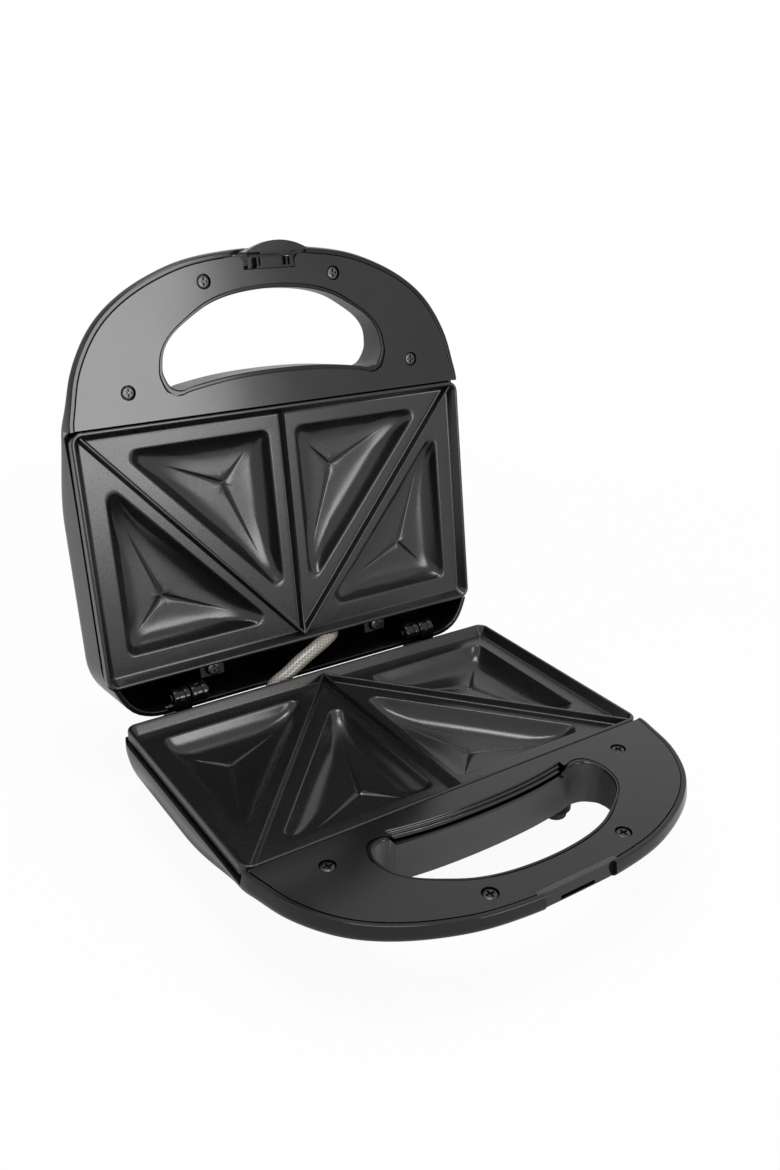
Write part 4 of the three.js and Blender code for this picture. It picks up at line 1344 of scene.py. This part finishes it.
    def pocket(self, cell: list[Vector], wall: float) -> list[Points]:
        """Give the rings of a pocket from its mouth to its middle.

        Args:
            cell: the cell's corners.
            wall: 0 for the hollow, or the casting's thickness for its back.

        Returns:
            The rings.
        """
        rings = []
        last = self.profile[-1][0]
        for inset, down in self.profile:
            if wall and 0 < inset < 1:
                continue
            t = max(0.0, inset) / last
            radius = self.mouth_radius + 0.5 * max(0.0, inset - 2.5)
            spread = -wall * (1 - t) if wall else 0.0
            groove = 0.0 if wall else float(smoothstep(t, 0.15, 0.4))
            rings.append(self.ring(cell, self.mouth + inset + spread, radius + wall * (1 - t),
                                   SIZE.land + down + wall, groove))
        return rings

    def outline(self, inset: float, height: float, flare: float = 0.0) -> Points:
        """Draw the plate's round-cornered outline at a height.

        Args:
            inset: how far it lies inside the plate's edge.
            height: its height.
            flare: how far its sides and its rear are drawn out again.

        Returns:
            The outline.
        """
        radius = max(self.corner - inset, 1.3)
        side = SIZE.plate_half - inset + flare - radius
        front, rear = inset - SIZE.plate_depth + radius, flare - inset - radius
        out = []
        for x, y, quarter in ((side, front, -1), (side, rear, 0), (-side, rear, 1), (-side, front, 2)):
            a = np.linspace(quarter, quarter + 1, 11) * math.pi / 2
            out.append(np.column_stack([x + radius * np.cos(a), y + radius * np.sin(a)]))
        return at_height(np.vstack(out), height)

    def face(self, outer: Points, cells: list[list[Points]]) -> tuple[list, list]:
        """Fill the land between the rim and the pockets, and skin the pockets.

        Args:
            outer: the land's outer edge.
            cells: the rings of each pocket.

        Returns:
            The corners and the faces.
        """
        loops = [outer] + [rings[0] for rings in cells]
        vertices = [p for loop in loops for p in loop]
        faces = [tuple(t) for t in tessellate_polygon([[Vector(p) for p in loop] for loop in loops])]
        start = len(outer)
        for rings in cells:
            count = len(rings[0])
            rows = [range(start, start + count)]
            start += count
            for ring in rings[1:]:
                rows.append(range(len(vertices), len(vertices) + count))
                vertices += list(ring)
            faces += bands(rows)
            vertices.append(np.mean(rings[-1], axis=0))
            faces += [(rows[-1][i], rows[-1][(i + 1) % count], len(vertices) - 1) for i in range(count)]
        return vertices, faces

    def casting(self) -> Form:
        """Make the plate without its ridges."""
        flare = self.lid_flare if self.half is Half.UPPER else self.flare
        top = [self.outline(i, w, flare) for i, w in self.rim]
        vertices, faces = self.face(top[-1], [self.pocket(c, 0) for c in self.cells()])
        shift = len(vertices)
        edge = self.outline(SIZE.rim_width, SIZE.land + SIZE.casting)
        back, back_faces = self.face(edge, [self.pocket(c, SIZE.casting) for c in self.cells()])
        vertices += back
        faces += [tuple(i + shift for i in f) for f in back_faces]
        skirt = ((SIZE.rim_width, SIZE.skirt, 0), (0.5, SIZE.skirt, 0), (0, SIZE.skirt - 0.5, 0),
                 (0, 6.6, 0), (0, 6.1, flare * 0.3), (0, 5.6, flare * 0.85), (0, 5.1, flare))
        count = len(edge)
        rows = [range(shift, shift + count)]
        for row in [self.outline(*values) for values in skirt] + top[:-1]:
            rows.append(range(len(vertices), len(vertices) + count))
            vertices += list(row)
        return Form(vertices, faces + bands([*rows, range(count)]))

    def ridge(self, end: tuple[float, float]) -> Form:
        """Make one ridge from the rear middle of the pan to a point of its front edge.

        Args:
            end: the point.

        Returns:
            The ridge, with fillets at its foot and round shoulders.
        """
        start, stop = Vector((0, -SIZE.rim_width / 2)), Vector(end)
        along = (stop - start).normalized()
        section = [*self.ridge_side, *[(-u, w) for u, w in self.ridge_side[::-1]]]
        return loft([np.array([(p.x - along.y * u, p.y + along.x * u, w) for u, w in section])
                     for p in (start, stop)])

    def build(self) -> bpy.types.Object:
        """Build and dress the plate.

        Returns:
            The piece.
        """
        body = self.casting()
        side = SIZE.plate_half - SIZE.rim_width
        corner = SIZE.rim_width - SIZE.plate_depth
        for end in ((0.0, corner - SIZE.rim_width / 2), (side, corner), (-side, corner)):
            bound = slab(self.outline(0.6, 0)[:, :2], 0.9, 8)
            body.join(self.ridge(end).keep(bound).settle())
        body.settle().clean(0.01)
        word = self.half.value
        return self.piece(body, f"{word}_pan", f"{word}_plate", "plate", self.finishes.plate, 62)


@dataclass
class Screws(HalfAssembly):
    """Cross-head screws of one half."""

    head: float = 3.35
    tab_head: float = 3.8
    rise: float = 2.75
    shank: float = 1.3
    cross: tuple[float, float] = (2.2, 0.55)

    def screw(self, x: float, y: float, seat: float, top: float) -> Form:
        """Make one screw whose head faces the parting plane.

        Args:
            x: its place across.
            y: its place in depth.
            seat: the height of the face it bears on.
            top: its head's radius.

        Returns:
            The screw.
        """
        low = seat - self.rise
        body = turned(x, y, ((top - 1.5, low), (top - 0.6, low + 0.08), (top - 0.2, low + 0.3),
                             (top, low + 0.8), (top, seat), (self.shank, seat), (self.shank, seat + 3.2),
                             (0.5, seat + 3.8)))
        for long, thin in (self.cross, self.cross[::-1]):
            body.cut(block((x - long, y - thin, low - 1), (x + long, y + thin, low + 1.2)))
        body.cut(turned(x, y, ((1.15, low - 0.5), (1.0, low + 0.6), (0.3, low + 1.5)), 16))
        return body.soften(0.12, 50, 2)

    def build(self) -> list[bpy.types.Object]:
        """Build and dress the screws.

        Returns:
            The pieces.
        """
        half = self.half.value
        seat = SIZE.bore_depth - SIZE.gap
        rows = [(f"facing_screw_{i}", f"cover_screw_{i}", self.screw(x, y, seat, self.head))
                for i, (x, y) in enumerate(COVER_SCREWS, 1)]
        for side in (-1, 1):
            word = "right" if (side > 0) == (self.half is Half.UPPER) else "left"
            form = self.screw(side * SIZE.tab_x, SIZE.tab_y, SIZE.tab_seat, self.tab_head)
            rows.append((f"rear_screw_{word}", f"tab_screw_{word}", form))
        return [self.piece(form, f"{half}_{name}", f"{half}_{node}", "screw", self.finishes.screw)
                for name, node, form in rows]


@dataclass
class Feet(Assembly):
    """Rubber feet under the lower half."""

    radius: float = 6.15
    height: float = 5.0

    def build(self) -> list[bpy.types.Object]:
        """Build and dress the feet.

        Returns:
            The pieces.
        """
        seat = SIZE.half_height + SIZE.gap
        end, r = seat + self.height, self.radius
        profile = ((3, seat - 4.3), (3, seat), (r - 0.5, seat), (r, seat + 0.4), (r, end - 1.2),
                   (r - 0.2, end - 0.6), (r - 0.7, end - 0.15), (r - 1.2, end), (r - 2.4, end),
                   (r - 2.8, end - 0.5), (0.4, end - 0.6))
        return [self.piece(turned(x, y, profile, 48), f"rubber_foot_{name}", f"foot_{name}", "rubber",
                           self.finishes.rubber) for name, (x, y) in FEET.items()]


@dataclass
class Pins(Assembly):
    """Steel hinge pins with rolled heads."""

    radius: float = 2.0
    head: float = 2.9
    head_length: float = 0.8

    def build(self) -> list[bpy.types.Object]:
        """Build and dress the pins.

        Returns:
            The pieces.
        """
        made = []
        near = SIZE.knuckle_start - 1.4
        far = SIZE.knuckle_start + 2 * SIZE.knuckle_length + SIZE.knuckle_gap + SIZE.gap
        w = -SIZE.closed_gap / 2
        shanks, heads = both_sides(near, far + 0.6), both_sides(far, far + self.head_length)
        for shank, head, word in zip(shanks, heads, ("left", "right")):
            form = bar(*shank, SIZE.hinge_y, w, self.radius, 32, 0.4)
            form.join(bar(*head, SIZE.hinge_y, w, self.head, 32, 0.35))
            made.append(self.piece(form, f"knuckle_pin_{word}", f"hinge_pin_{word}", "steel",
                                   self.finishes.oiled))
        return made


@dataclass
class CordBush(Assembly):
    """The grommet of the supply cord in the rear wall."""

    section: tuple = ((3.3, -5.7), (5.0, -5.7), (5.0, 0.3), (6.8, 0.3), (7.0, 0.5), (6.9, 0.9), (6.2, 1.5),
                      (5.4, 2.0), (4.4, 2.25), (3.6, 2.3), (3.3, 2.1))

    def build(self) -> bpy.types.Object:
        """Build and dress the bush."""
        form = loft([cord_ring(r, SIZE.shell_rear + d, 48) for r, d in self.section], closed=True)
        return self.piece(form, "cord_grommet", "cord_bush", "rubber", self.finishes.rubber)


@dataclass
class Latch(Assembly):
    """The half-moon latch with its pivot bar, its ribbed plate and its toe."""

    web: tuple = (((-7.2, -207.9, 1.9), (14.2, -202.7, 5.5)), ((-11, -211.5, 3.2), (11, -202.6, 4.4)),
                  ((-7.6, -203.4, -0.3), (14.6, -202.5, 3)))
    ribs: tuple = ((-7.2, -6.2), (-5.2, -4.2), (9.8, 10.8), (12.0, 14.2))
    bar_radius: float = 2.6
    pin_bore: float = 1.5
    moons: tuple = (((18.2, -210.5, -213.4), -6.5, 9), ((19.9, -210.5, -213.5), 5, 9),
                    ((19.9, -209.45, -213.5), 0.4, 5.2), ((19.9, -209.0, -213.5), 0.4, 1.0))
    step: tuple = ((-11, -211.6, 0.4), (11, -208.3, 4.4))
    toe: tuple = (18.5, -210.15, -215.6)
    toe_back: tuple = ((-9, -211.5, -7.9), (9, -209.15, -6.5))

    def build(self) -> bpy.types.Object:
        """Build and dress the latch.

        Returns:
            The piece.
        """
        body = bar(-8, 20, SIZE.latch_y, SIZE.latch_w, self.bar_radius)
        body.join(*[block(low, high) for low, high in self.web],
                  *[block((a, -207.9, -0.2), (b, -202.9, 3)) for a, b in self.ribs],
                  *[slab(half_moon(*outline), low, high) for outline, low, high in self.moons],
                  block(*self.step), slab(half_moon(*self.toe), -10, -6), block(*self.toe_back))
        body.cut(bar(-22, 22, SIZE.latch_y, SIZE.latch_w, self.pin_bore, 24))
        body.soften(0.3, 45, 2)
        return self.piece(body, "latch_lever", "latch", "shell", self.finishes.latch)


@dataclass
class Sleeve(Assembly):
    """The woven sleeve that carries the leads from the lower half into the lid."""

    radius: float = 4.1
    flatness: float = 0.92
    swell: float = 0.015
    sides: int = 28
    steps: int = 120
    route: tuple = ((24, 30, 6), (17.5, 20.5, 8.2), (6, 14, 7.4), (-7, 11.4, 2.6), (-17, 9.7, -2.2),
                    (-25, 9, -6.4), (-31, 7.4, -13), (-34, 5.8, -22))

    def line(self) -> Points:
        """Draw the sleeve's middle line."""
        points = np.array(self.route, float)
        whole = np.vstack([2 * points[0] - points[1], points, 2 * points[-1] - points[-2]])
        return spline(whole, self.steps // (len(points) - 1))

    def map_length(self, mesh: bpy.types.Mesh, length: Points) -> None:
        """Lay a map round and along the sleeve for its weave.

        Args:
            mesh: the sleeve's mesh.
            length: the length along the sleeve at each ring.
        """
        layer = mesh.uv_layers.new(name="length")
        count = self.sides
        for poly in mesh.polygons:
            if len(poly.vertices) != 4:
                continue
            columns = [v % count for v in poly.vertices]
            wrap = max(columns) - min(columns) > count / 2
            for loop, v, column in zip(poly.loop_indices, poly.vertices, columns):
                u = (column + count if wrap and column < count / 2 else column) / count
                layer.data[loop].uv = (u, length[v // count] / length[-1])

    def build(self) -> bpy.types.Object:
        """Build and dress the sleeve.

        Returns:
            The piece.
        """
        line = self.line()
        ahead = np.gradient(line, axis=0)
        ahead /= np.linalg.norm(ahead, axis=1)[:, None]
        normal = np.array((0.0, 0.0, 1.0))
        unit = circle(0, 0, 1, self.sides)
        rings, length = [], travelled(line)
        for p, way, run in zip(line, ahead, length):
            normal = normal - way * (normal @ way)
            normal /= np.linalg.norm(normal)
            radius = self.radius * (1 + self.swell * math.sin(run * 0.35))
            frame = np.array([normal * self.flatness, np.cross(way, normal)])
            rings.append(p + radius * unit @ frame)
        form = loft(rings)
        self.map_length(form.mesh, length)
        return self.piece(form, "woven_lead_sleeve", "wiring_sleeve", "sleeve", self.finishes.sleeve,
                          60, False)


@dataclass
class InnerWorks:
    """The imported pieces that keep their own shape."""

    finishes: Finishes
    nodes: dict[str, bpy.types.Object]
    edge: float = 0.00025

    def dress(self) -> None:
        """Give each kept piece its material and soft edges."""
        f = self.finishes
        looks = {"lower_heating_element": f.element, "upper_heating_element": f.element,
                 "lower_heat_reflector": f.tray, "upper_heat_reflector": f.tray,
                 "terminal_block": f.ceramic, "thermostat": f.ceramic, "thermal_fuse": f.ceramic,
                 "indicator_board": f.board, "power_lamp_lens": f.red, "ready_lamp_lens": f.green,
                 "latch_pin": f.tray, "latch_spring": f.tray}
        for name, look in looks.items():
            node = self.nodes[name]
            node.data.materials.clear()
            node.data.materials.append(look)
            bevel = node.modifiers.new("edge", "BEVEL")
            bevel.width = self.edge
            bevel.segments = 2
            bevel.limit_method = "ANGLE"
            bevel.angle_limit = math.radians(40)
            LOG.info("dressed %s", name)


@dataclass
class Studio:
    """Camera, lamps, world and floor."""

    rim: Vector
    azimuth: float = -34.709
    elevation: float = 24.053
    roll: float = 1.579
    distance: float = 579.96
    target: tuple[float, float, float] = (0, 0, 60)
    shift: tuple[float, float] = (-36.914, 6.955)
    focal_pixels: float = 1071.715
    frame_pixels: int = 1170
    room_colour: Colour = (0.96, 0.98, 1.0)
    room_strength: float = 0.42
    floor_tones: tuple[Colour, Colour] = ((0.9, 0.9, 0.9), (0.93, 0.93, 0.93))
    floor_near: float = 0.35
    floor_radius: float = 6.0
    floor_height: float = -0.0002
    lamps: tuple = (
        ("front_panel", (0.39, -1.5, 0.42), (0.39, 0, 0.42), (0.6, 0.68), 11.5, (1, 1, 1)),
        ("left_panel", (-1.6, 0.3, 1.2), (0, -0.03, 0.06), (0.5, 0.5), 2, (0.94, 0.97, 1.0)),
        ("top_panel", (-0.05, -0.1, 1.3), (0, -0.03, 0.06), (0.45, 0.45), 8, (1, 1, 1)))

    def camera(self) -> None:
        """Set up the camera of the photograph."""
        a, e, r = (math.radians(v) for v in (self.azimuth, self.elevation, self.roll))
        forward = Vector((-math.sin(a) * math.cos(e), math.cos(a) * math.cos(e), -math.sin(e)))
        right = Vector((math.cos(a), math.sin(a), 0))
        up = right.cross(forward)
        tilted = right * math.cos(r) + up * math.sin(r)
        upright = up * math.cos(r) - right * math.sin(r)
        aside = tilted * self.shift[0] + upright * self.shift[1]
        place = Vector(self.target) - forward * self.distance - aside
        data = bpy.data.cameras.new("view")
        data.sensor_width = 36
        data.sensor_fit = "AUTO"
        data.lens = data.sensor_width * self.focal_pixels / self.frame_pixels
        data.clip_start, data.clip_end = 0.01, 50
        camera = bpy.data.objects.new("view", data)
        turn = Matrix((tilted, upright, -forward)).transposed().to_4x4()
        camera.matrix_world = Matrix.Translation(self.rim + place * MM) @ turn
        bpy.context.scene.collection.objects.link(camera)
        bpy.context.scene.camera = camera

    def lamp(self, name: str, place: Vector, aim: Vector, size: tuple[float, float], watts: float,
             colour: Colour) -> None:
        """Hang a soft rectangular lamp.

        Args:
            name: the lamp's name.
            place: where it hangs, in metres.
            aim: what it faces.
            size: its width and height.
            watts: its power.
            colour: its colour.
        """
        data = bpy.data.lights.new(name, "AREA")
        data.shape = "RECTANGLE"
        data.size, data.size_y = size
        data.energy = watts
        data.color = colour
        lamp = bpy.data.objects.new(name, data)
        lamp.location = place
        lamp.rotation_mode = "QUATERNION"
        lamp.rotation_quaternion = (aim - place).to_track_quat("-Z", "Y")
        bpy.context.scene.collection.objects.link(lamp)

    def world(self) -> None:
        """Light the part from a pale room that the camera, metal and glass see as white."""
        s = Shader(bpy.data.worlds.new("room"))
        room = s.node("ShaderNodeBackground", {}, {0: self.room_colour, 1: self.room_strength})
        white = s.node("ShaderNodeBackground", {}, {0: (1, 1, 1), 1: 1.0})
        seen = s.ray("Camera").largest(s.ray("Glossy")).largest(s.ray("Transmission"))
        s.node("ShaderNodeOutputWorld", {}, {0: s.blend(seen, room, white).outputs[0]})
        bpy.context.scene.world = s.owner

    def floor(self) -> None:
        """Lay a pale floor that reads as white and keeps a faint shadow."""
        s = material("pale_floor")
        tone = s.mix(s.noise(3, 2), *self.floor_tones)
        paint = s.node("ShaderNodeBsdfDiffuse", {}, {"Color": tone})
        glow = s.node("ShaderNodeEmission", {}, {"Color": (1, 1, 1), "Strength": 1.0})
        away = s.node("ShaderNodeVectorMath", {"operation": "LENGTH"}, {0: s.place()}).outputs["Value"]
        far = ((Value(s, away) - self.floor_near) * 1.6).clipped()
        clear = s.ray("Camera").largest(s.ray("Transmission")) * (far * 0.06 + 0.94)
        seen = clear.largest(s.ray("Glossy") * far)
        s.node("ShaderNodeOutputMaterial", {}, {"Surface": s.blend(seen, paint, glow).outputs[0]})
        outline = at_height(circle(0, 0, self.floor_radius, 96), self.floor_height)
        mesh = bpy.data.meshes.new("floor")
        mesh.from_pydata(outline.tolist(), [], [tuple(range(len(outline)))])
        mesh.materials.append(s.owner)
        floor = bpy.data.objects.new("floor", mesh)
        bpy.context.scene.collection.objects.link(floor)

    def build(self) -> None:
        """Set up everything round the part."""
        self.camera()
        self.world()
        self.floor()
        for name, place, aim, size, watts, colour in self.lamps:
            self.lamp(name, self.rim + Vector(place), self.rim + Vector(aim), size, watts, colour)
        bpy.context.scene.view_settings.view_transform = "Standard"


def carry(pieces: Iterable[bpy.types.Object], body: str) -> None:
    """Let pieces ride on a body, and report each.

    Args:
        pieces: the pieces.
        body: the body's name.
    """
    for piece in pieces:
        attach(piece, body)
        LOG.info("built %s, %d faces", piece.name, len(piece.data.polygons))


def main() -> None:
    """Build the part's looks in order."""
    logging.basicConfig(level=logging.INFO, format="%(message)s")
    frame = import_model()
    placing = Placing(frame["joints"])
    finishes = Finishes()
    Studio(placing.rim).build()
    for half, body in ((Half.LOWER, "lower"), (Half.UPPER, "lid")):
        common = (finishes, placing.matrix(half), half)
        carry([Housing(*common).build(), Facing(*common).build(), Plate(*common).build(),
               *Screws(*common).build()], body)
    lower, upper = placing.matrix(Half.LOWER), placing.matrix(Half.UPPER)
    carry([*Feet(finishes, lower).build(), *Pins(finishes, lower).build(),
           CordBush(finishes, lower).build()], "lower")
    carry([Latch(finishes, upper).build()], "latch")
    sleeve = Sleeve(finishes, Matrix.Translation(placing.rim) @ Matrix.Scale(MM, 4)).build()
    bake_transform(sleeve)
    LOG.info("built %s", sleeve.name)
    InnerWorks(finishes, frame["nodes"]).dress()


if __name__ == "__main__":
    main()
